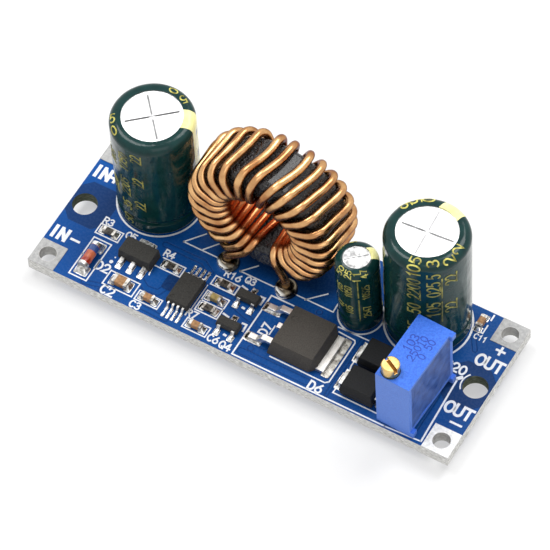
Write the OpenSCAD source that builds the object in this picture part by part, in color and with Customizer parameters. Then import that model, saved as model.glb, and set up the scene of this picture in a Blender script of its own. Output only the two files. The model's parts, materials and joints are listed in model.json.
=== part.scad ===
// Buck-boost converter module: a double-sided circuit board with wire terminals at
// its corners, three radial capacitors, a wound toroid inductor, a multi-turn trimmer
// and surface-mounted parts. Millimetres, +Z up. The origin is the centre of the
// board's underside, midway between the two mounting holes; +X runs to the output end.

/* [Board] */
// Length of the board from the input end to the output end
board_l = 57; // [55:0.5:70]
// Width of the board
board_w = 20; // [19:0.5:28]
// Thickness of the board
board_t = 1.6; // [1:0.1:2.4]
// Diameter of the two mounting holes
mount_hole_d = 3.1; // [2.5:0.1:3.3]
// Board left between a mounting hole and the end of the board
mount_edge_wall = 0.3; // [0.2:0.05:1]

/* [Wire terminals] */
// Side of a square terminal pad
pad_side = 3.5; // [3.2:0.1:4]
// Thickness of the tinned pad above the board
pad_t = 0.08; // [0.05:0.01:0.2]
// Diameter of the wire hole in a terminal
wire_hole_d = 2.2; // [1.5:0.1:2.6]

/* [Power capacitors] */
// Diameter of the input and output capacitors over the sleeve
cap_d = 10.3; // [9:0.1:10.8]
// Height of the input and output capacitors over the board
cap_h = 17.5; // [13:0.5:22]
// Distance between the two leads
cap_pitch = 5; // [3.5:0.1:5.5]
// Diameter of a lead
cap_lead_d = 0.6; // [0.5:0.05:0.8]
// Diameter of the bare metal disc inside the sleeve's lip
cap_disc_d = 7.4; // [6.5:0.1:8]
// Backward lean of the output capacitor, in degrees
output_lean = 2.6; // [0:0.1:4]

/* [Small capacitor] */
// Diameter of the small capacitor over the sleeve
small_cap_d = 5.3; // [4.4:0.1:5.4]
// Height of the small capacitor over the board
small_cap_h = 12; // [9:0.5:14]
// Distance between its leads
small_cap_pitch = 2; // [1.8:0.1:2.4]
// Diameter of a lead
small_cap_lead_d = 0.5; // [0.4:0.05:0.6]
// Diameter of the bare metal disc
small_cap_disc_d = 3.3; // [2.8:0.1:3.6]
// Lean of the small capacitor towards the coil, in degrees
small_lean = 1.5; // [0:0.1:2]

/* [Capacitor sleeves] */
// Thickness of the shrink sleeve
sleeve_t = 0.15; // [0.1:0.01:0.2]
// Depth of the crimp groove near the base
crimp_depth = 0.15; // [0.1:0.05:0.4]
// Height of the crimp groove over the base
crimp_z = 2.4; // [1.9:0.1:3.2]

/* [Inductor] */
// Outside diameter of the toroid core
core_od = 17.4; // [16:0.1:18]
// Inside diameter of the toroid core
core_hole_d = 10.4; // [10:0.1:11.4]
// Height of the core along its axis
core_h = 6.4; // [5:0.1:7]
// Radius of the core's rounded edges
core_edge_r = 0.8; // [0.4:0.1:1.2]
// Diameter of the enamelled wire
wire_d = 1.05; // [0.8:0.05:1.1]
// Height of the core's lowest point over the board
core_lift = 1.5; // [1.2:0.05:2]
// Half the distance between the coil's two leads
coil_lead_dx = 3.95; // [3.7:0.05:4.2]

/* [Trimmer] */
// Width of the trimmer over its raised corners
trimmer_w = 5; // [4.6:0.1:5.2]
// Length of the trimmer
trimmer_l = 9.5; // [8.5:0.1:10]
// Height of the trimmer's top over the board
trimmer_h = 10; // [8:0.5:12]
// Height of the feet under the housing
trimmer_foot = 0.6; // [0.3:0.1:1]
// Diameter of the adjusting screw
screw_d = 2.2; // [1.8:0.1:2.3]
// Rise of the screw over the housing
screw_rise = 1.5; // [1:0.1:2.5]
// Width of the screw's slot
screw_slot_w = 0.45; // [0.3:0.05:0.7]
// Distance between the trimmer's pins
trimmer_pitch = 2.54; // [2.2:0.02:2.6]

/* [Power transistor] */
// Length of the moulded body, along the board
fet_body_l = 6.5; // [6:0.1:6.7]
// Width of the moulded body, across the board
fet_body_w = 6.6; // [6:0.1:7]
// Height of the moulded body
fet_body_h = 2.3; // [2:0.1:2.8]
// Length of the tab beyond the body
fet_tab_out = 0.8; // [0.5:0.1:1.3]
// Reach of a lead beyond the body
fet_lead_out = 2.9; // [2.4:0.1:3.2]

/* [Rectifiers] */
// Length of a rectifier over its terminals
rect_l = 5.3; // [4.9:0.1:5.5]
// Length of its moulded body
rect_body_l = 4.4; // [4:0.1:4.6]
// Width of its moulded body
rect_w = 3.6; // [3.2:0.1:3.8]
// Height of its moulded body over the board
rect_h = 2.3; // [2:0.1:2.8]

/* [Controller chip] */
// Width of the chip's body, along the board
chip_w = 3; // [2.8:0.1:3.2]
// Length of the chip's body, across the board
chip_l = 4.4; // [4:0.1:4.6]
// Height of the chip over the board
chip_h = 1.1; // [0.9:0.1:1.4]
// Distance between the chip's leads
chip_pitch = 0.65; // [0.6:0.01:0.68]
// Span over the tips of the leads
chip_span = 6.4; // [6:0.1:6.8]

/* [Regulator] */
// Length of the regulator's body, along the board
reg_l = 4.5; // [4.2:0.1:4.7]
// Width of the regulator's body
reg_w = 2.5; // [2.2:0.1:2.7]
// Height of the regulator's body
reg_h = 1.5; // [1.3:0.1:1.7]
// Distance between the regulator's leads
reg_pitch = 1.5; // [1.4:0.05:1.6]

/* [Small transistors] */
// Length of a small transistor's body, along the board
sot_l = 2.9; // [2.7:0.1:3.1]
// Width of its body
sot_w = 1.3; // [1.2:0.05:1.5]
// Height of its body over the board
sot_h = 1.05; // [0.9:0.05:1.3]
// Span over the tips of its leads
sot_span = 2.4; // [2.2:0.05:2.6]

/* [Glass diode] */
// Length of the glass diode over its end caps
melf_l = 3.5; // [3.2:0.1:3.8]
// Diameter of its end caps
melf_d = 1.4; // [1.2:0.1:1.6]

/* [Chip resistors and capacitors] */
// Length of a small chip part
chip_part_l = 1.6; // [1.4:0.05:1.8]
// Width of a small chip part
chip_part_w = 0.8; // [0.7:0.05:0.9]
// Height of a chip resistor
resistor_h = 0.45; // [0.35:0.05:0.6]
// Height of a small chip capacitor
chip_cap_h = 0.8; // [0.5:0.05:0.95]
// Length of the large chip capacitor
big_chip_l = 2; // [1.8:0.05:2.2]
// Width of the large chip capacitor
big_chip_w = 1.25; // [1.1:0.05:1.4]

/* [Solder] */
// Length of a trimmed lead under the board
lead_trim = 1.3; // [1:0.1:2]
// Height of a solder joint under the board
solder_h = 0.9; // [0.6:0.1:0.95]
// Width of solder round a lead
solder_w = 0.55; // [0.4:0.05:0.6]

/* [Hidden] */
$fn = 64;

// Parts stand on tinned lands that are as thick as the terminal pads
seat_z = board_t + pad_t;

// Clearances
fit = 0.02;
solder_fit = 0.01;
solder_fill = 0.2;
screw_fit = 0.06;
cut = 1;

// Board frame: mounting holes and terminals
mount_hole_x = board_l / 2 - mount_edge_wall - mount_hole_d / 2;
terminal_x = board_l / 2 - pad_side / 2;
terminal_y = board_w / 2 - pad_side / 2;

// Coil: the wire's centre line round the core, then its place on the board
wire_gap = 0.08;
face_gap = 0.21;
strand_gap = 0.04;
strand_r_in = core_hole_d / 2 - wire_gap - wire_d / 2;
strand_r_out = core_od / 2 + face_gap + wire_d / 2;
strand_y = core_h / 2 + face_gap + wire_d / 2;
hole_bend_slack = 0.3;
rim_bend_slack = 0.5;
hole_bend_r = core_edge_r + wire_d / 2 + hole_bend_slack;
rim_bend_r = core_edge_r + wire_d / 2 + rim_bend_slack;
coil_r = strand_r_out + wire_d / 2;
coil_x = -3.15;
coil_y = 5;
coil_z = board_t + core_lift + core_od / 2;
coil_lead_y = coil_y - strand_y;
coil_lead_shift = -0.25;
coil_lead_pos = [for (side = [-1, 1]) [coil_x + coil_lead_shift + side * coil_lead_dx, coil_lead_y]];

// Turns round the coil, as groups of [count, first angle, step]
turn_groups = [[10, 227.5, 12.9], [2, 94, 10.5], [2, 69, 10.5], [2, 47, 11.5], [7, 22, 11.2]];
turn_angles = [for (g = turn_groups, i = [0 : g[0] - 1]) g[1] - i * g[2]];
turn_slope = 15;
turn_count = len(turn_angles);
hole_step = 2 * asin((wire_d + strand_gap) / (2 * strand_r_in));
hole_gap_mid = 277;
hole_fan = 13;
hole_first = hole_gap_mid - 180 + (turn_count + 1) * hole_step / 2;
wire_sides = 8;
bend_steps = 4;

// Capacitors: the tall ones stand off the coil and off each other
cap_coil_gap = 0.72;
small_cap_coil_gap = 0.6;
cap_cap_gap = 0.15;
trimmer_cap_gap = 0.1;
trimmer_x = 18.78;
trimmer_front_y = -9.4;
input_cap_pos = [coil_x - coil_r - cap_coil_gap - cap_d / 2, 4.85];
small_cap_pos = [coil_x + coil_r + small_cap_coil_gap + small_cap_d / 2, 2.3];
output_cap_y = trimmer_front_y + trimmer_l + trimmer_cap_gap + cap_d / 2;
cap_centres = (cap_d + small_cap_d) / 2 + cap_cap_gap;
output_cap_dx = sqrt(pow(cap_centres, 2) - pow(output_cap_y - small_cap_pos.y, 2));
output_cap_pos = [small_cap_pos.x + output_cap_dx, output_cap_y];

// A capacitor is [position, diameter, height, pitch, lead diameter, disc diameter, lead angle,
// lean, direction of the lean, angle of the vent cross]
output_lean_to = 116;
small_lean_to = 180;
input_cap = [input_cap_pos, cap_d, cap_h, cap_pitch, cap_lead_d, cap_disc_d, 0, 0, 0, 41];
output_cap = [output_cap_pos, cap_d, cap_h, cap_pitch, cap_lead_d, cap_disc_d, 75,
    output_lean, output_lean_to, 4];
small_cap = [small_cap_pos, small_cap_d, small_cap_h, small_cap_pitch, small_cap_lead_d,
    small_cap_disc_d, 60, small_lean, small_lean_to, 41];
caps = [input_cap, output_cap, small_cap];
can_edge_r = 0.9;
can_base_r = 0.4;
crimp_r = 1.2;
seal_share = 0.8;
seal_h = 1.4;
seal_inset = 0.2;
lead_in_seal = 1;
vent_w = 0.22;
vent_depth = 0.12;

function cap_lift(c) = c[1] / 2 * sin(c[7]);
function cap_foot(c, side) =
    let (along = side * c[3] / 2, lean_part = along * cos(c[6] - c[8]), drawn_in = lean_part * (cos(c[7]) - 1))
    [c[0].x + along * cos(c[6]) + drawn_in * cos(c[8]), c[0].y + along * sin(c[6]) + drawn_in * sin(c[8]),
        seat_z + cap_lift(c) - lean_part * sin(c[7])];
cap_feet = [for (c = caps, side = [-1, 1]) [cap_foot(c, side).x, cap_foot(c, side).y, c[4]]];

// Trimmer
trimmer_wall = 0.55;
corner_rise = 0.45;
corner_l = 0.8;
corner_h = 0.9;
resin_t = 1.2;
resin_sink = 0.15;
trimmer_yaw = -2.5;
screw_inset_x = 1.33;
screw_inset_y = 1.26;
screw_depth = 5;
screw_slot_depth = 0.8;
screw_slot_angle = -28;
screw_chamfer = 0.12;
pin_d = 0.5;
pin_in = 1.5;
function on_trimmer(x, y) =
    [trimmer_x + x * cos(trimmer_yaw) - y * sin(trimmer_yaw),
        trimmer_front_y + x * sin(trimmer_yaw) + y * cos(trimmer_yaw)];
screw_pos = on_trimmer(screw_inset_x, screw_inset_y);
pin_feet = [for (i = [-1:1])
    concat(on_trimmer((trimmer_w - corner_rise) / 2, trimmer_l / 2 + i * trimmer_pitch), pin_d)];

// Power transistor, its body's input side at x 0 and its middle at y 0
fet_pos = [3, -4.4];
fet_frame_t = 0.5;
fet_lead_w = 0.75;
fet_lead_pitch = 2.286;
fet_lead_z = 0.95;
fet_lead_in = 0.8;
fet_foot_l = 1.3;
fet_stub_out = 0.35;
fet_tab_w = 5.3;
fet_tab_in = 4;
fet_chamfer = 0.9;
fet_draft = 0.5;

// Rectifiers, in a row across the board beside the trimmer
rect_trimmer_gap = 0.63;
rect_row_gap = 0.6;
rect_front_edge = -8.65;
rect_x = trimmer_x - rect_trimmer_gap - rect_l / 2;
rect_front_y = rect_front_edge + rect_w / 2;
rect_rear_y = rect_front_y + rect_w + rect_row_gap;
rect_strap_t = 0.2;
rect_strap_w = 2.1;
rect_strap_under = 1.1;
rect_strap_in = 0.6;
rect_strap_z = 1.2;
rect_draft = 0.25;

// Chips
chip_pos = [-9.45, -5.2];
chip_lead_w = 0.25;
chip_lead_t = 0.15;
chip_lead_z = 0.5;
chip_foot_l = 0.6;
chip_clear = 0.1;
chip_dimple_d = 0.5;
chip_dimple_depth = 0.08;
lead_in_body = 0.3;
mould_draft = 0.12;
reg_pos = [-17, -3.35];
reg_frame_t = 0.4;
reg_lead_w = 0.5;
reg_lead_out = 0.85;
reg_tab_w = 1.7;
reg_tab_out = 0.75;
reg_frame_in = 0.9;
sot_lead_w = 0.42;
sot_lead_t = 0.14;
sot_lead_z = 0.5;
sot_foot_l = 0.3;
sot_pitch = 0.95;
sot_clear = 0.08;
front_sot_pos = [-2.65, -6.75];
rear_sot_pos = [-2.55, -2.35];

// Glass diode, along Y
melf_pos = [-22, -6.4];
melf_cap_l = 0.45;
melf_glass_inset = 0.06;

// Chip resistors and capacitors as [x, y, angle]; the first capacitor is the large one
resistor_places = [[-21.9, -2.15, 0], [-12.9, -2.8, 0], [-6.03, -1.9, 0], [-6, -5.75, 0]];
out_chip_gap = 0.1;
out_chip_x = output_cap_pos.x + cap_d / 2 + out_chip_gap + chip_part_w / 2;
chip_cap_places = [[-16.93, -7.62, 0], [-12.95, -8.02, 0], [-6.05, -8.6, 0], [-6, -4.25, 0],
    [out_chip_x, 8, 90]];
end_l_share = 0.2;
end_t = 0.03;

// Solder
coil_solder_r = 1.45;
coil_solder_h = 1.1;
solder_tip_w = 0.12;

// Wire route as [x, y, z] points
function coil_point(r, y, a) = [coil_x + r * cos(a), coil_y + y, coil_z + r * sin(a)];
// Angle of a strand in the hole, in front and behind; the first strands fan out behind
function hole_angle(pass) = hole_first - (pass + 1) * hole_step;
function hole_back(pass) = hole_angle(pass) + hole_fan * pow(0.5, pass + 1);
function reversed(list) = [for (i = [len(list) - 1 : -1 : 0]) list[i]];
function sum_of(list, n) = n == 0 ? 0 : list[n - 1] + sum_of(list, n - 1);

// Half a turn as [radius, depth]: out of the hole, over a face and round to the rim's middle
bend_angles = [for (i = [0 : bend_steps]) i * 90 / bend_steps];
hole_bend = [for (p = bend_angles)
    [strand_r_in + hole_bend_r * (1 - cos(p)), strand_y - hole_bend_r * (1 - sin(p))]];
rim_bend = [for (p = bend_angles)
    [strand_r_out - rim_bend_r * (1 - sin(p)), strand_y - rim_bend_r * (1 - cos(p))]];
half_turn = concat(hole_bend, rim_bend, [[strand_r_out, 0]]);
half_steps = [for (i = [1 : len(half_turn) - 1]) norm(half_turn[i] - half_turn[i - 1])];
half_shares = [for (i = [0 : len(half_turn) - 1]) sum_of(half_steps, i) / sum_of(half_steps, len(half_steps))];

// Angle that leaves a evenly and comes to b at a slope, as x goes from 0 to 1
function eased(a, b, slope, x) = a + (b - a) * (3 * x * x - 2 * x * x * x) + slope * (x * x * x - x * x);
// Half turn from the hole at angle a to the rim at angle b; side is -1 in front, 1 behind
function turn_half(a, b, side) = [for (i = [0 : len(half_turn) - 1])
    coil_point(half_turn[i].x, side * half_turn[i].y,
        eased(a, b, side * turn_slope, half_shares[i]))];
// One turn: out of the hole in front, over the rim to the back and back into the hole
function turn(k) =
    let (behind = turn_half(hole_back(k + 1), turn_angles[k], 1))
    concat(turn_half(hole_angle(k), turn_angles[k], -1), [for (i = [len(behind) - 2 : -1 : 0]) behind[i]]);

// A lead from its trimmed end up through its joint, then in a curve to the front of the hole
lead_rise = board_t + coil_solder_h + wire_d / 2;
lead_pull = 0.6;
lead_steps = 6;
function curve(a, b, c, d, t) =
    pow(1 - t, 3) * a + 3 * pow(1 - t, 2) * t * b + 3 * (1 - t) * t * t * c + t * t * t * d;
function lead_route(side, a) =
    let (foot = coil_lead_pos[side < 0 ? 0 : 1],
        start = [foot.x, foot.y, lead_rise],
        into = reversed([for (p = hole_bend) coil_point(p.x, -p.y, a)]),
        outward = lead_pull * [cos(a), 0, sin(a)])
    concat(
        [[foot.x, foot.y, -lead_trim], [foot.x, foot.y, board_t], start],
        [for (i = [1 : lead_steps - 1])
            curve(start, start + [0, 0, lead_pull], into[0] + outward, into[0], i / lead_steps)],
        into);
// The first strand turns round behind the hole and comes out in front again
return_mid = (hole_back(-1) + hole_back(0)) / 2;
return_half = (hole_back(-1) - hole_back(0)) / 2;
return_r = strand_r_in * sin(return_half);
return_loop = [for (p = [0 : 30 : 180])
    coil_point(strand_r_in * cos(return_half), strand_y - hole_bend_r + return_r * sin(p), return_mid)
    + return_r * cos(p) * [-sin(return_mid), 0, cos(return_mid)]];
wire_route = concat(
    lead_route(-1, hole_angle(-1)),
    return_loop,
    [for (k = [0 : turn_count - 1]) each turn(k)],
    reversed(lead_route(1, hole_angle(turn_count))));

// Round bar swept along a route, with frames carried from ring to ring
function unit(v) = v / norm(v);
function across(v, t) = unit(v - (v * t) * t);
function route_way(route, i) =
    unit(route[min(i + 1, len(route) - 1)] - route[max(i - 1, 0)]);
module swept_wire(route, d, start_side) {
    ways = [for (i = [0 : len(route) - 1]) route_way(route, i)];
    sides = [for (i = 0, u = across(start_side, ways[0]); i < len(route);
        i = i + 1, u = i < len(route) ? across(u, ways[i]) : u) u];
    rings = [for (i = [0 : len(route) - 1], j = [0 : wire_sides - 1])
        let (a = j * 360 / wire_sides)
        route[i] + d / 2 * (cos(a) * sides[i] + sin(a) * cross(ways[i], sides[i]))];
    last = (len(route) - 1) * wire_sides;
    walls = [for (i = [0 : len(route) - 2], j = [0 : wire_sides - 1])
        let (a = i * wire_sides + j, b = i * wire_sides + (j + 1) % wire_sides)
        each [[a, a + wire_sides, b], [b, a + wire_sides, b + wire_sides]]];
    first_end = [for (j = [0 : wire_sides - 1]) j];
    last_end = [for (j = [wire_sides - 1 : -1 : 0]) last + j];
    polyhedron(rings, concat([first_end], walls, [last_end]));
}

// Box with its base at z 0, middle at x 0 and y 0, and sides that lean in towards the top
module drafted_box(l, w, h, draft) {
    intersection() {
        rotate([90, 0, 0])
            linear_extrude(w, center = true)
                polygon([[-l / 2, 0], [l / 2, 0], [l / 2 - draft, h], [draft - l / 2, h]]);
        rotate([90, 0, 90])
            linear_extrude(l, center = true)
                polygon([[-w / 2, 0], [w / 2, 0], [w / 2 - draft, h], [draft - w / 2, h]]);
    }
}

// Moulded body with its parting line at part_z, drafted above and below it
module moulded_body(l, w, low, high, part_z, draft) {
    translate([0, 0, part_z]) {
        drafted_box(l, w, high - part_z, draft);
        mirror([0, 0, 1])
            drafted_box(l, w, part_z - low, draft / 2);
    }
}

// Gull-wing lead along +X: starts at x -inside at height z, steps down to a foot at the board
module gull_lead(inside, out, z, foot, t, w) {
    knee = out - foot - t;
    rotate([90, 0, 0])
        linear_extrude(w, center = true)
            polygon([[-inside, z], [knee - t, z], [knee + t / 2, 0], [out, 0], [out, t],
                [knee + t * 1.5, t], [knee, z + t], [-inside, z + t]]);
}

// Circuit board
module circuit_board() {
    color("royalblue")
        difference() {
            translate([-board_l / 2, -board_w / 2, 0])
                cube([board_l, board_w, board_t]);
            for (side = [-1, 1])
                board_hole([side * mount_hole_x, 0], mount_hole_d);
            for (sx = [-1, 1], sy = [-1, 1])
                board_hole([sx * terminal_x, sy * terminal_y], wire_hole_d);
            for (foot = concat(cap_feet, pin_feet))
                board_hole(foot, foot.z + 2 * solder_fill + 2 * solder_fit);
            for (foot = coil_lead_pos)
                board_hole(foot, wire_d + 2 * solder_fill + 2 * solder_fit);
        }
}
module board_hole(pos, d) {
    translate([pos.x, pos.y, -cut])
        cylinder(d = d, h = board_t + 2 * cut);
}

// Wire terminal: a tinned pad on each face round a plated hole
module terminal(sx, sy) {
    color("silver")
        for (z = [-pad_t, board_t])
            translate([sx * terminal_x, sy * terminal_y, z])
                difference() {
                    translate([-pad_side / 2, -pad_side / 2, 0])
                        cube([pad_side, pad_side, pad_t]);
                    translate([0, 0, -cut])
                        cylinder(d = wire_hole_d, h = pad_t + 2 * cut);
                }
}

// Radial capacitor, drawn upright on z 0 and then set on the board
module cap_pose(c) {
    translate([c[0].x, c[0].y, seat_z + cap_lift(c)])
        rotate(c[8])
            rotate([0, c[7], 0])
                rotate(-c[8])
                    children();
}
// Half section of the can, grown by a layer's offset
module can_section(c, grow) {
    r = c[1] / 2 - sleeve_t - fit + grow;
    low = sleeve_t + fit - grow;
    high = c[2] - sleeve_t - fit + grow;
    edge = can_edge_r + grow;
    base = can_base_r + grow;
    difference() {
        union() {
            translate([0, low])
                square([r - base, high - low - edge]);
            translate([0, low + base])
                square([r - edge, high - low - base]);
            translate([0, low + base])
                square([r, high - low - base - edge]);
            translate([r - edge, high - edge])
                circle(edge);
            translate([r - base, low + base])
                circle(base);
        }
        translate([-r, low])
            square([r, high - low]);
        translate([r - grow - crimp_depth + crimp_r, crimp_z])
            circle(crimp_r - grow);
    }
}
module cap_can(c) {
    seal_r = (c[1] / 2 - sleeve_t) * seal_share;
    can_top = c[2] - sleeve_t - fit;
    color("gainsboro")
        cap_pose(c)
            difference() {
                rotate_extrude()
                    can_section(c, 0);
                translate([0, 0, -cut])
                    cylinder(r = seal_r, h = seal_inset + seal_h + cut);
                for (turn_by = [0, 90])
                    rotate(c[9] + turn_by)
                        translate([-c[5] * 0.45, -vent_w / 2, can_top - vent_depth])
                            cube([c[5] * 0.9, vent_w, cut]);
            }
}
module cap_sleeve(c) {
    color("darkslategray")
        cap_pose(c)
            rotate_extrude()
                difference() {
                    can_section(c, fit + sleeve_t);
                    can_section(c, fit);
                    translate([0, -cut])
                        square([c[5] / 2, c[2] + 2 * cut]);
                }
}
module cap_seal(c) {
    color("dimgray")
        difference() {
            cap_pose(c)
                translate([0, 0, seal_inset])
                    cylinder(r = (c[1] / 2 - sleeve_t) * seal_share - fit, h = seal_h - fit);
            for (side = [-1, 1])
                cap_lead(c, side, c[4] + 2 * fit, fit);
        }
}
// Straight lead from its trimmed end up into the seal
module cap_lead(c, side, d, grow) {
    foot = cap_foot(c, side);
    translate([foot.x, foot.y, -lead_trim])
        cylinder(d = d, h = foot.z + seal_inset + lead_in_seal + grow + lead_trim);
}
module cap_leads(c) {
    color("silver")
        for (side = [-1, 1])
            cap_lead(c, side, c[4], 0);
}

// Inductor
module inductor_core() {
    color("dimgray")
        translate([coil_x, coil_y, coil_z])
            rotate([90, 0, 0])
                rotate_extrude()
                    core_section();
}
module core_section() {
    inner = core_hole_d / 2 + core_edge_r;
    outer = core_od / 2 - core_edge_r;
    half = core_h / 2 - core_edge_r;
    translate([core_hole_d / 2, -half])
        square([(core_od - core_hole_d) / 2, 2 * half]);
    translate([inner, -core_h / 2])
        square([outer - inner, core_h]);
    for (r = [inner, outer], y = [-half, half])
        translate([r, y])
            circle(core_edge_r);
}
module inductor_winding() {
    color("peru")
        swept_wire(wire_route, wire_d, [1, 0, 0]);
}
// Joint filled round a lead: a dome on the board, a plug in the hole and a cone underneath
module inductor_solder() {
    dome = [for (a = [0 : 15 : 75]) [coil_solder_r * cos(a), board_t + coil_solder_h * sin(a)]];
    color("silver")
        for (foot = coil_lead_pos)
            translate([foot.x, foot.y, 0])
                solder_joint(wire_d, dome);
}
module solder_joint(lead_d, top_rim) {
    bore = lead_d / 2 + solder_fit;
    plug = lead_d / 2 + solder_fill;
    rotate_extrude()
        polygon(concat(
            [[bore, -solder_h], [bore + solder_tip_w, -solder_h], [plug + solder_w * 0.3, -solder_h * 0.4],
                [plug + solder_w - solder_fill, 0], [plug, 0], [plug, board_t]],
            top_rim,
            [[bore, len(top_rim) > 0 ? top_rim[len(top_rim) - 1].y : board_t]]));
}
module lead_solder() {
    color("silver")
        for (foot = concat(cap_feet, pin_feet))
            translate([foot.x, foot.y, 0])
                solder_joint(foot.z, []);
}

// Trimmer, from its input-side front corner on the board
module trimmer_place() {
    translate([trimmer_x, trimmer_front_y, seat_z])
        rotate(trimmer_yaw)
            children();
}
module trimmer_housing() {
    side_x = trimmer_w - corner_rise;
    color("cornflowerblue")
        difference() {
            trimmer_place() {
                difference() {
                    cube([side_x, trimmer_l, trimmer_h]);
                    translate([-cut, corner_l, -cut])
                        cube([trimmer_w + 2 * cut, trimmer_l - 2 * corner_l, trimmer_foot + cut]);
                    translate([side_x - resin_t, trimmer_wall, trimmer_foot + trimmer_wall])
                        cube([resin_t + cut, trimmer_l - 2 * trimmer_wall,
                            trimmer_h - trimmer_foot - 2 * trimmer_wall]);
                }
                for (y = [0, trimmer_l - corner_l])
                    translate([side_x, y, 0])
                        cube([corner_rise, corner_l, corner_h]);
                translate([side_x, trimmer_l - corner_l, trimmer_h - corner_h])
                    cube([corner_rise, corner_l, corner_h]);
            }
            translate([screw_pos.x, screw_pos.y, seat_z + trimmer_h - screw_depth])
                cylinder(d = screw_d + 2 * screw_fit, h = screw_depth + cut);
            for (pin = pin_feet)
                translate([pin.x, pin.y, 0])
                    cylinder(d = pin_d + 2 * fit, h = seat_z + trimmer_foot + pin_in + fit);
        }
}
module trimmer_resin() {
    color("steelblue")
        trimmer_place()
            translate([trimmer_w - corner_rise - resin_t, trimmer_wall, trimmer_foot + trimmer_wall])
                cube([resin_t - resin_sink, trimmer_l - 2 * trimmer_wall,
                    trimmer_h - trimmer_foot - 2 * trimmer_wall]);
}
module trimmer_screw() {
    screw_l = screw_depth + screw_rise;
    color("gold")
        translate([screw_pos.x, screw_pos.y, seat_z + trimmer_h - screw_depth])
            difference() {
                union() {
                    cylinder(d = screw_d, h = screw_l - screw_chamfer);
                    translate([0, 0, screw_l - screw_chamfer])
                        cylinder(d1 = screw_d, d2 = screw_d - 2 * screw_chamfer, h = screw_chamfer);
                }
                rotate(screw_slot_angle)
                    translate([-screw_d, -screw_slot_w / 2, screw_l - screw_slot_depth])
                        cube([2 * screw_d, screw_slot_w, screw_slot_depth + cut]);
            }
}
module trimmer_pins() {
    color("silver")
        for (pin = pin_feet)
            translate([pin.x, pin.y, -lead_trim])
                cylinder(d = pin_d, h = lead_trim + seat_z + trimmer_foot + pin_in);
}

// Power transistor: leads towards the input end, tab towards the output end
module fet_place() {
    translate([fet_pos.x, fet_pos.y, seat_z])
        children();
}
module fet_frame_solids() {
    for (side = [-1, 1])
        translate([0, side * fet_lead_pitch, 0])
            mirror([1, 0, 0])
                gull_lead(fet_lead_in, fet_lead_out, fet_lead_z, fet_foot_l, fet_frame_t, fet_lead_w);
    translate([-fet_stub_out, -fet_lead_w / 2, fet_lead_z])
        cube([fet_stub_out + fet_lead_in, fet_lead_w, fet_frame_t]);
    translate([fet_body_l - fet_tab_in, -fet_tab_w / 2, 0])
        cube([fet_tab_in + fet_tab_out, fet_tab_w, fet_frame_t]);
}
module power_transistor_body() {
    color("dimgray")
        fet_place()
            difference() {
                intersection() {
                    translate([fet_body_l / 2, 0, 0])
                        drafted_box(fet_body_l, fet_body_w, fet_body_h, fet_draft);
                    linear_extrude(fet_body_h)
                        polygon([[0, -fet_body_w / 2], [fet_body_l - fet_chamfer, -fet_body_w / 2],
                            [fet_body_l, fet_chamfer - fet_body_w / 2],
                            [fet_body_l, fet_body_w / 2 - fet_chamfer],
                            [fet_body_l - fet_chamfer, fet_body_w / 2], [0, fet_body_w / 2]]);
                }
                fet_frame_solids();
                translate([fet_chamfer + fet_draft, fet_lead_pitch / 2, fet_body_h - chip_dimple_depth])
                    cylinder(d = fet_chamfer, h = cut);
            }
}
module power_transistor_frame() {
    color("silver")
        fet_place()
            fet_frame_solids();
}

// Rectifier on folded end terminals
module rect_straps() {
    for (side = [0, 1])
        mirror([side, 0, 0])
            rotate([90, 0, 0])
                linear_extrude(rect_strap_w, center = true)
                    polygon([[rect_l / 2 - rect_strap_under, 0], [rect_l / 2, 0],
                        [rect_l / 2, rect_strap_z + rect_strap_t],
                        [rect_body_l / 2 - rect_strap_in, rect_strap_z + rect_strap_t],
                        [rect_body_l / 2 - rect_strap_in, rect_strap_z],
                        [rect_l / 2 - rect_strap_t, rect_strap_z],
                        [rect_l / 2 - rect_strap_t, rect_strap_t],
                        [rect_l / 2 - rect_strap_under, rect_strap_t]]);
}
module rectifier_body(y) {
    color("dimgray")
        translate([rect_x, y, seat_z])
            difference() {
                moulded_body(rect_body_l, rect_w, rect_strap_t, rect_h, rect_strap_z, rect_draft);
                rect_straps();
            }
}
module rectifier_terminals(y) {
    color("silver")
        translate([rect_x, y, seat_z])
            rect_straps();
}

// Controller chip with its leads along the front and back
module chip_place() {
    translate([chip_pos.x, chip_pos.y, seat_z])
        children();
}
module chip_lead_solids() {
    for (side = [-1, 1], i = [-1.5 : 1.5])
        translate([i * chip_pitch, side * chip_l / 2, 0])
            rotate(side * 90)
                gull_lead(lead_in_body, (chip_span - chip_l) / 2, chip_lead_z, chip_foot_l,
                    chip_lead_t, chip_lead_w);
}
module controller_chip_body() {
    color("dimgray")
        chip_place()
            difference() {
                moulded_body(chip_w, chip_l, chip_clear, chip_h, chip_lead_z, mould_draft);
                chip_lead_solids();
                translate([chip_dimple_d - chip_w / 2 + mould_draft, chip_dimple_d - chip_l / 2 + mould_draft,
                    chip_h - chip_dimple_depth])
                    cylinder(d = chip_dimple_d, h = cut);
            }
}
module controller_chip_leads() {
    color("silver")
        chip_place()
            chip_lead_solids();
}

// Regulator: three flat leads in front, the middle one running through to a tab behind
module reg_place() {
    translate([reg_pos.x, reg_pos.y, seat_z])
        children();
}
module reg_frame_solids() {
    for (side = [-1, 1])
        translate([side * reg_pitch - reg_lead_w / 2, -reg_w / 2 - reg_lead_out, 0])
            cube([reg_lead_w, reg_lead_out + reg_frame_in, reg_frame_t]);
    translate([-reg_lead_w / 2, -reg_w / 2 - reg_lead_out, 0])
        cube([reg_lead_w, reg_lead_out + reg_w / 2, reg_frame_t]);
    translate([-reg_tab_w / 2, 0, 0])
        cube([reg_tab_w, reg_w / 2 + reg_tab_out, reg_frame_t]);
}
module regulator_body() {
    color("dimgray")
        reg_place()
            difference() {
                drafted_box(reg_l, reg_w, reg_h, mould_draft);
                reg_frame_solids();
            }
}
module regulator_leads() {
    color("silver")
        reg_place()
            reg_frame_solids();
}

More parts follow.
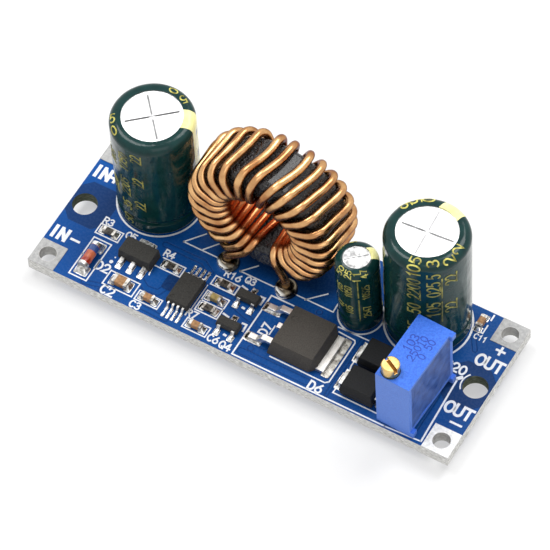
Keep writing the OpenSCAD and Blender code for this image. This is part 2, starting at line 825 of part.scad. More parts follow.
// Small transistor: two leads in front, one behind
module sot_lead_solids() {
    for (x = [-sot_pitch, sot_pitch])
        translate([x, -sot_w / 2, 0])
            rotate(-90)
                sot_lead();
    translate([0, sot_w / 2, 0])
        rotate(90)
            sot_lead();
}
module sot_lead() {
    gull_lead(lead_in_body, (sot_span - sot_w) / 2, sot_lead_z, sot_foot_l, sot_lead_t, sot_lead_w);
}
module sot_body(pos) {
    color("dimgray")
        translate([pos.x, pos.y, seat_z])
            difference() {
                moulded_body(sot_l, sot_w, sot_clear, sot_h, sot_lead_z, mould_draft);
                sot_lead_solids();
            }
}
module sot_leads(pos) {
    color("silver")
        translate([pos.x, pos.y, seat_z])
            sot_lead_solids();
}

// Glass diode
module melf_place() {
    translate([melf_pos.x, melf_pos.y, seat_z + melf_d / 2])
        rotate([90, 0, 0])
            children();
}
module glass_diode_body() {
    color("orangered")
        melf_place()
            cylinder(d = melf_d - 2 * melf_glass_inset, h = melf_l - 2 * melf_cap_l, center = true);
}
module glass_diode_end_caps() {
    color("silver")
        melf_place()
            for (side = [-1, 1])
                translate([0, 0, side * (melf_l - melf_cap_l) / 2])
                    cylinder(d = melf_d, h = melf_cap_l, center = true);
}

// Chip part: a block between two plated ends, l by w by h
module chip_place_at(place) {
    translate([place.x, place.y, seat_z])
        rotate(place.z)
            children();
}
module chip_block(l, w, h, side_t) {
    translate([end_t - l / 2, side_t - w / 2, end_t])
        cube([l - 2 * end_t, w - 2 * side_t, h - 2 * end_t]);
}
module chip_ends(l, w, h, side_t) {
    for (side = [0, 1])
        mirror([side, 0, 0])
            difference() {
                translate([l / 2 - l * end_l_share, -w / 2, 0])
                    cube([l * end_l_share, w, h]);
                chip_block(l, w, h, side_t);
            }
}
function chip_cap_size(i) =
    i == 0 ? [big_chip_l, big_chip_w, chip_cap_h] : [chip_part_l, chip_part_w, chip_cap_h];
module chip_resistor(i) {
    color("black")
        chip_place_at(resistor_places[i])
            chip_block(chip_part_l, chip_part_w, resistor_h, 0);
}
module chip_resistor_terminals() {
    color("silver")
        for (place = resistor_places)
            chip_place_at(place)
                chip_ends(chip_part_l, chip_part_w, resistor_h, 0);
}
module chip_capacitor(i) {
    size = chip_cap_size(i);
    color("tan")
        chip_place_at(chip_cap_places[i])
            chip_block(size.x, size.y, size.z, end_t);
}
module chip_capacitor_terminals() {
    color("silver")
        for (i = [0 : len(chip_cap_places) - 1]) {
            size = chip_cap_size(i);
            chip_place_at(chip_cap_places[i])
                chip_ends(size.x, size.y, size.z, end_t);
        }
}

circuit_board();
terminal(-1, 1);  // in_plus_terminal
terminal(-1, -1);  // in_minus_terminal
terminal(1, 1);  // out_plus_terminal
terminal(1, -1);  // out_minus_terminal
cap_can(input_cap);  // input_capacitor_can
cap_sleeve(input_cap);  // input_capacitor_sleeve
cap_seal(input_cap);  // input_capacitor_seal
cap_leads(input_cap);  // input_capacitor_leads
cap_can(output_cap);  // output_capacitor_can
cap_sleeve(output_cap);  // output_capacitor_sleeve
cap_seal(output_cap);  // output_capacitor_seal
cap_leads(output_cap);  // output_capacitor_leads
cap_can(small_cap);  // small_capacitor_can
cap_sleeve(small_cap);  // small_capacitor_sleeve
cap_seal(small_cap);  // small_capacitor_seal
cap_leads(small_cap);  // small_capacitor_leads
inductor_core();
inductor_winding();
inductor_solder();
trimmer_housing();
trimmer_resin();
trimmer_screw();
trimmer_pins();
power_transistor_body();
power_transistor_frame();
rectifier_body(rect_front_y);  // front_rectifier_body
rectifier_terminals(rect_front_y);  // front_rectifier_terminals
rectifier_body(rect_rear_y);  // rear_rectifier_body
rectifier_terminals(rect_rear_y);  // rear_rectifier_terminals
controller_chip_body();
controller_chip_leads();
regulator_body();
regulator_leads();
sot_body(front_sot_pos);  // front_transistor_body
sot_leads(front_sot_pos);  // front_transistor_leads
sot_body(rear_sot_pos);  // rear_transistor_body
sot_leads(rear_sot_pos);  // rear_transistor_leads
glass_diode_body();
glass_diode_end_caps();
chip_resistor(0);  // chip_resistor_1
chip_resistor(1);  // chip_resistor_2
chip_resistor(2);  // chip_resistor_3
chip_resistor(3);  // chip_resistor_4
chip_resistor_terminals();
chip_capacitor(0);  // chip_capacitor_1
chip_capacitor(1);  // chip_capacitor_2
chip_capacitor(2);  // chip_capacitor_3
chip_capacitor(3);  // chip_capacitor_4
chip_capacitor(4);  // chip_capacitor_5
chip_capacitor_terminals();
lead_solder();
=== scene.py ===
# %% [markdown]
# # Dressing a buck-boost converter module
# The frame holds every solid of the module at its real size: the board, the capacitors,
# the wound toroid, the trimmer and the small parts. This lesson adds what the solids
# can't carry: finishes, solder, printed marks and a smooth winding.

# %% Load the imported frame
import json
import math

import bmesh
import bpy
import numpy as np
from mathutils import Matrix, Vector


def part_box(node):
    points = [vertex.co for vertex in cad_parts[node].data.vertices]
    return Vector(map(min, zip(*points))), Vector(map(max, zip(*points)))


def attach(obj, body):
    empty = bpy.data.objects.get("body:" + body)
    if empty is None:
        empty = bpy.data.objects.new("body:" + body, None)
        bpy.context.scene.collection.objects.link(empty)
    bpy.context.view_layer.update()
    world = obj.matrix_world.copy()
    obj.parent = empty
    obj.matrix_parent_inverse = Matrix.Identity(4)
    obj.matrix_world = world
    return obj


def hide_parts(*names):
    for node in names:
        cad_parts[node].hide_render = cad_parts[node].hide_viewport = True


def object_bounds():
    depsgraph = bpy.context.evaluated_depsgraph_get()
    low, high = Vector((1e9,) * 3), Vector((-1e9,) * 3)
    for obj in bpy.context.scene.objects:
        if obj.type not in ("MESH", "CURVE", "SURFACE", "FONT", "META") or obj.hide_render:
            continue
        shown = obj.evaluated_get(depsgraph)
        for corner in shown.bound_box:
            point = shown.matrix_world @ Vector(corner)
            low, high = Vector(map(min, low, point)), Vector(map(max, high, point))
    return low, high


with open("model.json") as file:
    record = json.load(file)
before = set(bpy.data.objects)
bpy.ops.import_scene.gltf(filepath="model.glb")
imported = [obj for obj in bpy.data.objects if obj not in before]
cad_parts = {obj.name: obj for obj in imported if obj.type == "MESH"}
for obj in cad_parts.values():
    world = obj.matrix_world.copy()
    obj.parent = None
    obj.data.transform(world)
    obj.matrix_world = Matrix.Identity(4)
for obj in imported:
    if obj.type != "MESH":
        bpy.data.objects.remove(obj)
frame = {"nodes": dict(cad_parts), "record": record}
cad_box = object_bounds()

MM = 0.001


def node_box(name):
    """The lowest and highest corners of a frame node, in millimetres."""
    low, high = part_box(name)
    return np.array(low) / MM, np.array(high) / MM


board_high = node_box("circuit_board")[1]
BOARD_TOP = board_high[2]
print("frame:", len(frame["nodes"]), "nodes, board top at", round(BOARD_TOP, 2), "mm")

# %% [markdown]
# ## The camera
# The module is seen from above its front edge through a long lens, so its long edges stay
# almost parallel. A camera is a rigid frame: its right, up and backward directions are
# worked out from the viewing angles and become the columns of its matrix. A Track To
# constraint could aim it too, but it can't hold the slight roll of this view.

# %% Camera
FRAME_PX = 550
SENSOR_MM = 36.0
FOCAL_PX = 4732.0
AZIMUTH, ELEVATION, ROLL = np.radians([33.44, 56.78, -3.85])
CAMERA_DISTANCE = 559.4
LOOK_AT = np.array([-1.61, 2.21, BOARD_TOP])


def camera_axes(azimuth, elevation, roll):
    """Right, up and backward of a camera: spherical angles first, then a turn about the view."""
    back = np.array([
        math.sin(azimuth) * math.cos(elevation),
        -math.cos(azimuth) * math.cos(elevation),
        math.sin(elevation),
    ])
    right = np.array([math.cos(azimuth), math.sin(azimuth), 0.0])
    up = np.cross(back, right)
    turned = right * math.cos(roll) + up * math.sin(roll)
    return turned, np.cross(back, turned), back


def add_object(name, data):
    """A new object in the scene that shows the data."""
    thing = bpy.data.objects.new(name, data)
    bpy.context.scene.collection.objects.link(thing)
    return thing


def add_camera():
    """A camera at CAMERA_DISTANCE behind the point it looks at."""
    data = bpy.data.cameras.new("camera")
    data.sensor_width = SENSOR_MM
    data.lens = FOCAL_PX * SENSOR_MM / FRAME_PX
    data.clip_start = 0.01
    camera = add_object("camera", data)
    right, up, back = camera_axes(AZIMUTH, ELEVATION, ROLL)
    pose = np.eye(4)
    pose[:3, :3] = np.stack([right, up, back], axis=1)
    pose[:3, 3] = (LOOK_AT + back * CAMERA_DISTANCE) * MM
    camera.matrix_world = Matrix(pose.tolist())
    bpy.context.scene.camera = camera
    return camera


print("camera lens:", round(add_camera().data.lens, 1), "mm")

# %% [markdown]
# ## Shapes from arrays
# Most new pieces are a closed section carried along a path: a wire, a printed line, a
# lathed joint. Each is one array of rings, and the faces follow from the grid's numbers.
# Bevelled curve objects could do it as well, but with arrays every point is known.

# %% Sweeps, lathes and pieces
def ring_quads(rows, sides):
    """Quads between neighbouring rings: (i, j), (i, j+1), (i+1, j+1), (i+1, j), wrapped in j."""
    i, j = np.meshgrid(np.arange(rows - 1), np.arange(sides), indexing="ij")
    k = (j + 1) % sides
    corners = [i * sides + j, i * sides + k, (i + 1) * sides + k, (i + 1) * sides + j]
    return np.stack(corners, axis=-1).reshape(-1, 4)


def swept(rings, closed=False):
    """Rings (count, sides, 3) as a tube, joined into a loop or closed by a flat cap at each end."""
    count, sides = rings.shape[:2]
    faces = ring_quads(count, sides)
    last = (count - 1) * sides
    if closed:
        j = np.arange(sides)
        k = (j + 1) % sides
        faces = np.concatenate([faces, np.stack([last + j, last + k, k, j], axis=-1)]).tolist()
    else:
        start_cap = list(range(sides))[::-1]
        end_cap = list(range(last, last + sides))
        faces = faces.tolist() + [start_cap, end_cap]
    return rings.reshape(-1, 3), faces


def full_turn(steps):
    """Angles spaced evenly round a circle."""
    return np.linspace(0, 2 * np.pi, steps, endpoint=False)


def lathed(profile, centre, sides=48):
    """A profile of (radius, height) points turned about Z: x = r cos t, y = r sin t."""
    t = full_turn(sides)
    r, z = np.array(profile, float).T
    ring = [np.outer(r, np.cos(t)), np.outer(r, np.sin(t)), np.outer(z, np.ones(sides))]
    return swept(np.stack(ring, axis=-1) + np.array(centre, float))


def joined(shapes):
    """Several shapes as one: each shape's faces count on from the vertices before it."""
    starts = np.cumsum([0] + [len(points) for points, _ in shapes])
    numbered = [(part, start) for (_, part), start in zip(shapes, starts)]
    faces = [[v + start for v in face] for part, start in numbered for face in part]
    return np.concatenate([points for points, _ in shapes]), faces


SHARP = math.radians(45)


def make_piece(name, shape, material, body="board", stands_for=()):
    """A mesh piece from points in millimetres; quads shade smooth, caps stay flat."""
    points, faces = shape
    mesh = bpy.data.meshes.new(name)
    mesh.from_pydata((np.asarray(points) * MM).tolist(), [], faces)
    mesh.polygons.foreach_set("use_smooth", [len(face) <= 4 for face in faces])
    mesh.set_sharp_from_angle(angle=SHARP)
    mesh.materials.append(material)
    mesh.update()
    piece = add_object(name, mesh)
    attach(piece, body)
    if stands_for:
        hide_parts(*stands_for)
    print(name + ":", len(points), "points,", len(faces), "faces")


# %% [markdown]
# ## Finishes
# A finish is one Principled shader with a few nodes in front of it. A small class lets
# ordinary arithmetic build the Math nodes, so a mask reads like its formula. Effects that
# several finishes share are node groups, built once. Painted images could do much of this,
# but a formula needs no map on the mesh and stays sharp from close by.

# %% Numbers that build nodes
class Num:
    """A node's output, on which +, -, *, <, > and abs() build Math nodes."""

    def __init__(self, tree, socket):
        self.tree, self.socket = tree, socket

    def __add__(self, other):
        return calc("ADD", self, other)

    def __sub__(self, other):
        return calc("SUBTRACT", self, other)

    def __mul__(self, other):
        return calc("MULTIPLY", self, other)

    def __lt__(self, other):
        return calc("LESS_THAN", self, other)

    def __gt__(self, other):
        return calc("GREATER_THAN", self, other)

    def __abs__(self):
        return calc("ABSOLUTE", self)


def feed(node, sockets):
    """Values and links into a node's sockets, by name or number."""
    for key, value in sockets.items():
        if isinstance(value, Num):
            value.tree.links.new(value.socket, node.inputs[key])
        else:
            node.inputs[key].default_value = value


def add_node(tree, kind, sockets=None, **settings):
    """A node with its settings and sockets."""
    node = tree.nodes.new(kind)
    for key, value in settings.items():
        setattr(node, key, value)
    feed(node, sockets or {})
    return node


def take(tree, kind, sockets=None, output=0, **settings):
    """One output of a new node."""
    return Num(tree, add_node(tree, kind, sockets, **settings).outputs[output])


def calc(operation, a, b=0.0, c=0.0, clamp=False):
    """The result of one Math node."""
    tree = next(value.tree for value in (a, b, c) if isinstance(value, Num))
    sockets = {0: a, 1: b, 2: c}
    return take(tree, "ShaderNodeMath", sockets, operation=operation, use_clamp=clamp)


# %% Ranges, colours, places and directions
def remap(value, low, high, to_low=0.0, to_high=1.0):
    """A value moved from one range to another, held at the ends."""
    sockets = {"Value": value, "From Min": low, "From Max": high}
    sockets.update({"To Min": to_low, "To Max": to_high})
    return take(value.tree, "ShaderNodeMapRange", sockets, "Result")


MIX_FACTOR, MIX_A, MIX_B, MIX_COLOUR = 0, 6, 7, 2


def blend(mask, *colours):
    """The first colour where the mask is 0, the second where it is 1; a tuple is 0 to 255."""
    first, second = [colour(*tint) if isinstance(tint, tuple) else tint for tint in colours]
    sockets = {MIX_FACTOR: mask, MIX_A: first, MIX_B: second}
    return take(mask.tree, "ShaderNodeMix", sockets, MIX_COLOUR, data_type="RGBA")


def split(vector):
    """The x, y and z of a vector."""
    node = add_node(vector.tree, "ShaderNodeSeparateXYZ", {0: vector})
    return [Num(vector.tree, socket) for socket in node.outputs]


def place_mm(tree):
    """Object coordinates in millimetres, as separate x, y and z."""
    coords = take(tree, "ShaderNodeTexCoord", output="Object")
    sockets = {0: coords, "Scale": 1 / MM}
    return split(take(tree, "ShaderNodeVectorMath", sockets, operation="SCALE"))


def facing(tree):
    """The x, y and z of the direction that a surface looks in."""
    return split(take(tree, "ShaderNodeNewGeometry", output="Normal"))


def colour(red, green, blue):
    """A display colour, 0 to 255 a channel, as the linear colour that a shader takes."""
    share = np.array([red, green, blue]) / 255
    linear = np.where(share <= 0.04045, share / 12.92, ((share + 0.055) / 1.055) ** 2.4)
    return (*linear.tolist(), 1.0)


# %% Finishes and groups
def new_finish(name, sockets):
    """A material and its tree, with plain values set straight on the Principled shader."""
    material = bpy.data.materials.new(name)
    material.use_nodes = True
    shader = material.node_tree.nodes["Principled BSDF"]
    feed(shader, sockets)
    return material, material.node_tree, shader


def surface(shader, base, rough, relief=None, depth_mm=0.0):
    """A shader's colour and roughness, and a bump of the given depth on its normal."""
    sockets = {"Base Color": base, "Roughness": rough}
    if relief is not None:
        heights = {"Height": relief, "Distance": depth_mm * MM, "Strength": 1.0}
        sockets["Normal"] = take(base.tree, "ShaderNodeBump", heights, "Normal")
    feed(shader, sockets)


def new_group(name, inputs, output_names):
    """An empty shader group of numbers: its tree, its inputs in order, and its exit node."""
    tree = bpy.data.node_groups.new(name, "ShaderNodeTree")
    for names, in_out in ((inputs, "INPUT"), (output_names, "OUTPUT")):
        for key in names:
            tree.interface.new_socket(key, in_out=in_out, socket_type="NodeSocketFloat")
    entry = tree.nodes.new("NodeGroupInput").outputs
    return tree, [Num(tree, entry[key]) for key in inputs], tree.nodes.new("NodeGroupOutput")


def use_group(tree, group, values):
    """The outputs of a group placed in a material, with its values in the order of its inputs."""
    node = add_node(tree, "ShaderNodeGroup", dict(enumerate(values)), node_tree=group)
    return [Num(tree, socket) for socket in node.outputs]


# %% Grain: the fine unevenness that every real surface has
def build_grain():
    """Noise over Object coordinates: a value stretched to 0..1, and the raw noise as a height."""
    inputs, outputs = ["Per mm", "Contrast"], ["Value", "Height"]
    tree, (per_mm, contrast), leave = new_group("grain", inputs, outputs)
    coords = take(tree, "ShaderNodeTexCoord", output="Object")
    sockets = {"Vector": coords, "Scale": per_mm * (1 / MM), "Detail": 5.0}
    noise = take(tree, "ShaderNodeTexNoise", sockets)
    spread = calc("MULTIPLY_ADD", noise - 0.5, contrast, 0.5)
    feed(leave, {"Value": calc("ADD", spread, 0.0, clamp=True), "Height": noise})
    return tree


GRAIN = build_grain()


def grain(tree, per_mm, contrast):
    """The grain group in a material: a tone from 0 to 1, and a height."""
    return use_group(tree, GRAIN, (per_mm, contrast))


def grain_finish(name, dark, light, rough, per_mm, depth_mm, contrast, sockets):
    """A finish whose colour and roughness drift between two values with the grain."""
    material, tree, shader = new_finish(name, sockets)
    tone, relief = grain(tree, per_mm, contrast)
    base = blend(tone, dark, light)
    surface(shader, base, remap(tone, 0, 1, *rough), relief, depth_mm)
    return material


print("grain group:", len(GRAIN.nodes), "nodes")

# %% [markdown]
# ### Metals
# Leads and lands are tinned, joints are solder, cans are aluminium and the screw is brass.
# A metal shows its surroundings, and in a white studio these are all pale, so the darker
# patches that real solder mirrors are part of its colour here.

# %% Metal finishes
# Each row: name, dark and light colour, roughness, grain per mm, depth in mm, contrast, values
METAL, HALF_METAL = {"Metallic": 1.0}, {"Metallic": 0.5}
TIN, END_TIN, TAB_TIN, LAND_TIN, SOLDER, BRIGHT_TIN, PLATING = [grain_finish(*row) for row in (
    ("tin", (142, 138, 132), (246, 246, 244), (0.25, 0.45), 1.5, 0.015, 3.0, METAL),
    ("chip_end_tin", (110, 104, 96), (226, 223, 216), (0.3, 0.5), 1.8, 0.015, 3.0, METAL),
    ("tab_tin", (214, 210, 204), (246, 244, 240), (0.3, 0.42), 0.9, 0.004, 1.6, METAL),
    ("terminal_tin", (150, 150, 150), (194, 194, 193), (0.66, 0.82), 2.4, 0.03, 2.6, METAL),
    ("solder", (120, 114, 104), (252, 252, 250), (0.16, 0.3), 1.2, 0.04, 3.2, METAL),
    # The next row is a lighter copy of terminal tin for one terminal: painted light
    ("painted_light_terminal_tin", (198, 198, 197), (238, 238, 236), (0.6, 0.75), 2.4, 0.03, 2.6, METAL),
    ("hole_plating", (158, 157, 154), (216, 215, 212), (0.5, 0.7), 2.0, 0.01, 2.0, HALF_METAL),
)]
SLOT_EDGE = 0.1


def brass_finish():
    """Brass, with dull brown painted shade inside the screw's outline and below its top, its slot.
    """
    material, tree, shader = new_finish("brass", METAL)
    low, high = node_box("trimmer_screw")
    x, y, z = place_mm(tree)
    off_x, off_y = [at - middle for at, middle in zip((x, y), (low + high) / 2)]
    inside = off_x * off_x + off_y * off_y < ((high[0] - low[0]) / 2 - SLOT_EDGE) ** 2
    # The slot takes a painted shade of dull brown
    slot = inside * (z < high[2] - SLOT_EDGE)
    tone, _ = grain(tree, 1.0, 1.6)
    bright = blend(tone, (204, 166, 96), (236, 204, 138))
    surface(shader, blend(slot, bright, (126, 88, 38)), remap(tone, 0, 1, 0.26, 0.36))
    return material


BRASS = brass_finish()
print("brass finish:", len(BRASS.node_tree.nodes), "nodes")

# %% [markdown]
# ### Moulded and glazed parts
# Black mouldings, resistor glaze and rubber are dull and take little gloss. The core's
# black coat is lumpy and shines in specks. Ink is matt. These could all be built node by
# node, but they differ only in numbers, so rows of a table feed one function.

# %% Dielectric finishes
DULL = {"Specular IOR Level": 0.12}
SATIN = {"Specular IOR Level": 0.3}
GLAZE = {"Specular IOR Level": 0.5, "Coat Weight": 0.45, "Coat Roughness": 0.1}
CORE, MOULD, CHIP_MOULD, POWER_MOULD, RUBBER = [grain_finish(*row) for row in (
    ("core_coating", (3, 3, 4), (30, 29, 32), (0.06, 0.3), 2.2, 0.6, 5.0, GLAZE),
    ("moulding_compound", (25, 26, 26), (42, 42, 43), (0.45, 0.62), 7.0, 0.02, 2.0, DULL),
    ("chip_moulding", (49, 48, 46), (72, 71, 68), (0.45, 0.62), 7.0, 0.02, 2.0, DULL),
    ("power_moulding", (62, 59, 55), (84, 80, 75), (0.42, 0.6), 7.0, 0.02, 2.0, DULL),
    ("seal_rubber", (26, 26, 26), (44, 44, 44), (0.6, 0.8), 4.0, 0.02, 2.0, DULL),
)]
RESISTOR, PALE_CERAMIC, CERAMIC, RESIN = [grain_finish(*row, SATIN) for row in (
    ("resistor_glaze", (36, 34, 31), (90, 84, 74), (0.2, 0.4), 3.0, 0.01, 3.0),
    ("pale_chip_ceramic", (138, 118, 66), (196, 174, 110), (0.35, 0.5), 2.5, 0.01, 2.5),
    ("chip_ceramic", (146, 104, 62), (196, 150, 104), (0.35, 0.5), 2.5, 0.01, 2.5),
    ("potting_resin", (32, 66, 134), (76, 108, 178), (0.3, 0.44), 0.9, 0.08, 2.6),
)]
SILK, WORN_INK, GOLD_INK, DARK_INK = [grain_finish(*row, SATIN) for row in (
    ("silkscreen_ink", (232, 236, 242), (254, 254, 255), (0.5, 0.65), 3.0, 0.01, 2.0),
    ("worn_gold_ink", (74, 78, 40), (176, 168, 84), (0.4, 0.55), 0.8, 0.01, 4.0),
    ("gold_ink", (122, 114, 40), (232, 224, 120), (0.4, 0.55), 1.0, 0.01, 4.0),
    ("dark_ink", (26, 50, 146), (44, 78, 190), (0.5, 0.6), 4.0, 0.01, 2.0),
)]
print("mouldings, glazes and inks:", len(bpy.data.materials), "finishes so far")

# %% [markdown]
# ### Enamelled copper
# The wire is bright copper under clear enamel, with painted shade where a strand looks down.
# Deep in the ring's hole it takes a painted red glow that stands in for the light its
# neighbours reflect. Its two ends are stained with flux near the board, so the colour turns
# brown and dull over the lowest millimetres.
# Three materials could share the wire, but one with masks by place shows no seam.

# %% Copper finish
solder_low, solder_high = node_box("inductor_solder")
JOINT_R = (solder_high[1] - solder_low[1]) / 2
JOINT_Y, JOINT_TOP = (solder_low[1] + solder_high[1]) / 2, solder_high[2]
LEAD_X = (solder_low[0] + JOINT_R, solder_high[0] - JOINT_R)
core_low, core_high = node_box("inductor_core")
COIL = (core_low + core_high) / 2
CORE_OD, CORE_H = core_high[0] - core_low[0], core_high[1] - core_low[1]
# The glow ranges place a painted red glow deep in the hole, standing in for light the strands
# reflect onto each other
GLOW_R, GLOW_Y, GLOW = (4.7, 5.6), (CORE_H / 2 - 1.2, CORE_H / 2 + 0.6), 0.65
STAIN_Z, STAIN_REACH, STAIN_METAL = (BOARD_TOP + 1.2, BOARD_TOP + 2.6), 1.5, 0.35
# Range of normal z over which a painted shade darkens strands that look down
SHADED_SIDE = (-0.6, 0.45)


def copper_finish():
    """Two-tone copper: painted shade below, a painted red glow in the hole, brown low on the leads.
    """
    sockets = {"Coat Weight": 0.5, "Coat Roughness": 0.2, "Specular Tint": colour(104, 62, 30)}
    material, tree, shader = new_finish("enamelled_copper", sockets)
    x, y, z = place_mm(tree)
    tone, relief = grain(tree, 0.45, 2.5)
    copper = blend(tone, (164, 106, 58), (232, 184, 126))
    # A painted shade darkens strands that look down
    copper = blend(remap(facing(tree)[2], *SHADED_SIDE), (112, 56, 22), copper)
    off_x, off_y, off_z = [at - middle for at, middle in zip((x, y, z), COIL)]
    from_axis = calc("SQRT", off_x * off_x + off_z * off_z)
    # A painted red glow, strongest deep in the hole
    glow = remap(from_axis, *GLOW_R, 1.0, 0.0) * remap(abs(off_y), *GLOW_Y, GLOW, 0.0)
    copper = blend(glow, copper, (192, 98, 46))
    stain = blend(tone, (150, 106, 62), (212, 168, 110))
    off_lead = calc("MINIMUM", *[abs(x - lead_x) for lead_x in LEAD_X])
    stained = (off_lead < STAIN_REACH) * remap(z, *STAIN_Z, 1.0, 0.0)
    feed(shader, {"Metallic": remap(stained, 0, 1, 1.0, STAIN_METAL)})
    surface(shader, blend(stained, copper, stain), remap(tone, 0, 1, 0.2, 0.3), relief, 0.02)
    return material


COPPER = copper_finish()
print("copper: stained round the leads at x", np.round(LEAD_X, 2).tolist())

# %% [markdown]
# ### The trimmer's moulding
# The housing is bright blue nylon with a fine rough skin. Its upright faces are painted a
# little paler, a painted sheen of reflected light. The way a face looks picks the tone, so
# that the housing doesn't have to be parted into faces with materials of their own.

# %% Trimmer finish
LOOKS_UP = (0.3, 0.8)


def trimmer_finish():
    """Blue by how far a face looks up: saturated on top, paler on the sides as painted sheen."""
    material, tree, shader = new_finish("trimmer_moulding", SATIN)
    tone, relief = grain(tree, 5.0, 2.4)
    top = blend(tone, (42, 98, 212), (68, 128, 238))
    # The paler blue on the sides is a painted sheen
    side = blend(tone, (82, 122, 212), (98, 140, 224))
    base = blend(remap(facing(tree)[2], *LOOKS_UP), side, top)
    surface(shader, base, remap(tone, 0, 1, 0.36, 0.52), relief, 0.05)
    return material


TRIMMER_BLUE = trimmer_finish()
print("trimmer finish:", len(TRIMMER_BLUE.node_tree.nodes), "nodes")

# %% [markdown]
# ## The board
# A blue lacquer covers the copper. Where copper lies under it the blue is lighter, and the
# thin gaps that part one track from the next show as darker lines. A group works out the
# distance from one straight run; the least distance of all runs gives one outline.
# A second group marks whole fields: bare ones round the mounting holes, and copper patches.
# Tracks could be cut into the mesh, but that takes thousands of faces and masks take none.

# %% Groups for the board's copper
COPPER_EDGE = 0.08


def past_edge(distance):
    """0 before an edge and 1 past it, soft over the width of a copper edge."""
    return calc("MULTIPLY_ADD", distance, 1 / COPPER_EDGE, 0.5, clamp=True)


def build_track():
    """Distance from the nearest point of a segment A-B, less the track's half width."""
    inputs = ["Ax", "Ay", "Bx", "By", "Half width"]
    tree, (ax, ay, bx, by, half_width), leave = new_group("track", inputs, ["Past"])
    x, y, _ = place_mm(tree)
    run_x, run_y, off_x, off_y = bx - ax, by - ay, x - ax, y - ay
    reach, square = off_x * run_x + off_y * run_y, run_x * run_x + run_y * run_y
    share = calc("DIVIDE", reach, square, clamp=True)
    gap_x, gap_y = off_x - run_x * share, off_y - run_y * share
    feed(leave, {"Past": calc("SQRT", gap_x * gap_x + gap_y * gap_y) - half_width})
    return tree


def build_field():
    """Inside of a box with cut corners: |dx| - a, |dy| - b and |dx| + |dy| - c are all below 0."""
    inputs = ["X", "Y", "Half x", "Half y", "Corner reach"]
    tree, entries, leave = new_group("copper_field", inputs, ["Mask"])
    mid_x, mid_y, half_x, half_y, corner = entries
    x, y, _ = place_mm(tree)
    from_x, from_y = abs(x - mid_x), abs(y - mid_y)
    past = calc("MAXIMUM", from_x - half_x, from_y - half_y)
    past = calc("MAXIMUM", past, from_x + from_y - corner)
    feed(leave, {"Mask": past_edge(past * -1.0)})
    return tree


TRACK, FIELD = build_track(), build_field()
print("groups:", TRACK.name, len(TRACK.nodes), "nodes,", FIELD.name, len(FIELD.nodes), "nodes")

# %% Tracks and fields
# Runs as (x, y, x, y, half width), from part to part; equal ends make a covered via
TRACK_GAP = 0.16
TRACKS = [
    (-15.1, -6.1, -14.1, -6.75, 0.3), (-14.1, -6.75, -12.5, -6.6, 0.3),
    (-12.5, -6.6, -11.9, -5.2, 0.3), (-15.8, -5.2, -15.1, -6.1, 0.3),
    (-13.2, -9.25, -9.8, -9.4, 0.22), (-21.0, -9.55, -19.0, -9.0, 0.2),
    (-15.2, -0.3, -9.9, -0.3, 0.25), (-9.9, -0.3, -8.4, -1.2, 0.25),
    (0.2, -8.85, 9.2, -8.85, 0.35), (0.2, -6.9, 2.4, -6.9, 0.4), (11.95, -9.3, 11.95, 0.8, 0.12),
    (-4.6, -3.6, -1.0, -4.6, 0.25), (-8.2, -3.0, -4.4, -3.0, 0.2), (23.2, -9.0, 23.2, -1.0, 0.3),
    (24.1, 4.4, 22.9, 6.2, 0.2), (1.05, -8.0, 1.05, -8.0, 0.28),
    (-18.6, -9.6, -18.6, -9.6, 0.28), (5.6, 0.2, 5.6, 0.2, 0.28),
]
# Fields as (x, y, half x, half y, corner reach)
BARE_FIELDS = [
    (-25.75, 0.25, 2.75, 3.05, 4.6), (25.75, -0.25, 2.75, 3.05, 4.6), (-11.9, -4.7, 0.75, 1.1, 1.6),
]
COPPER_PATCHES = [(-13.58, -4.6, 0.85, 0.95, 1.55), (1.2, -2.9, 1.3, 2.0, 3.0)]
MOUNT_X, MOUNT_R = board_high[0] - 1.85, 1.78
print("copper under the lacquer:", len(TRACKS), "runs,", len(COPPER_PATCHES), "patches")

# %% Board finish
# A painted shadow darkens the lacquer round a run under the coil, COIL_SHADE deep at most
COIL_SHADOW_RUN, COIL_FADE, COIL_SHADE = (-4.0, 5.0, 3.6, 5.0, 2.2), 1.8, 0.6
LACQUER_X = (-22, 20)
STREAK_BAND = (0.36, 0.64)


def extreme(tree, operation, start, group, rows):
    """The largest or least output of a group over rows of its values."""
    for row in rows:
        start = calc(operation, start, use_group(tree, group, row)[0])
    return start


def track_gaps(tree):
    """1 in the gap round the copper: just past the nearest track and not yet TRACK_GAP away."""
    past = extreme(tree, "MINIMUM", 100.0, TRACK, TRACKS)
    return past_edge(past) - past_edge(past - TRACK_GAP)


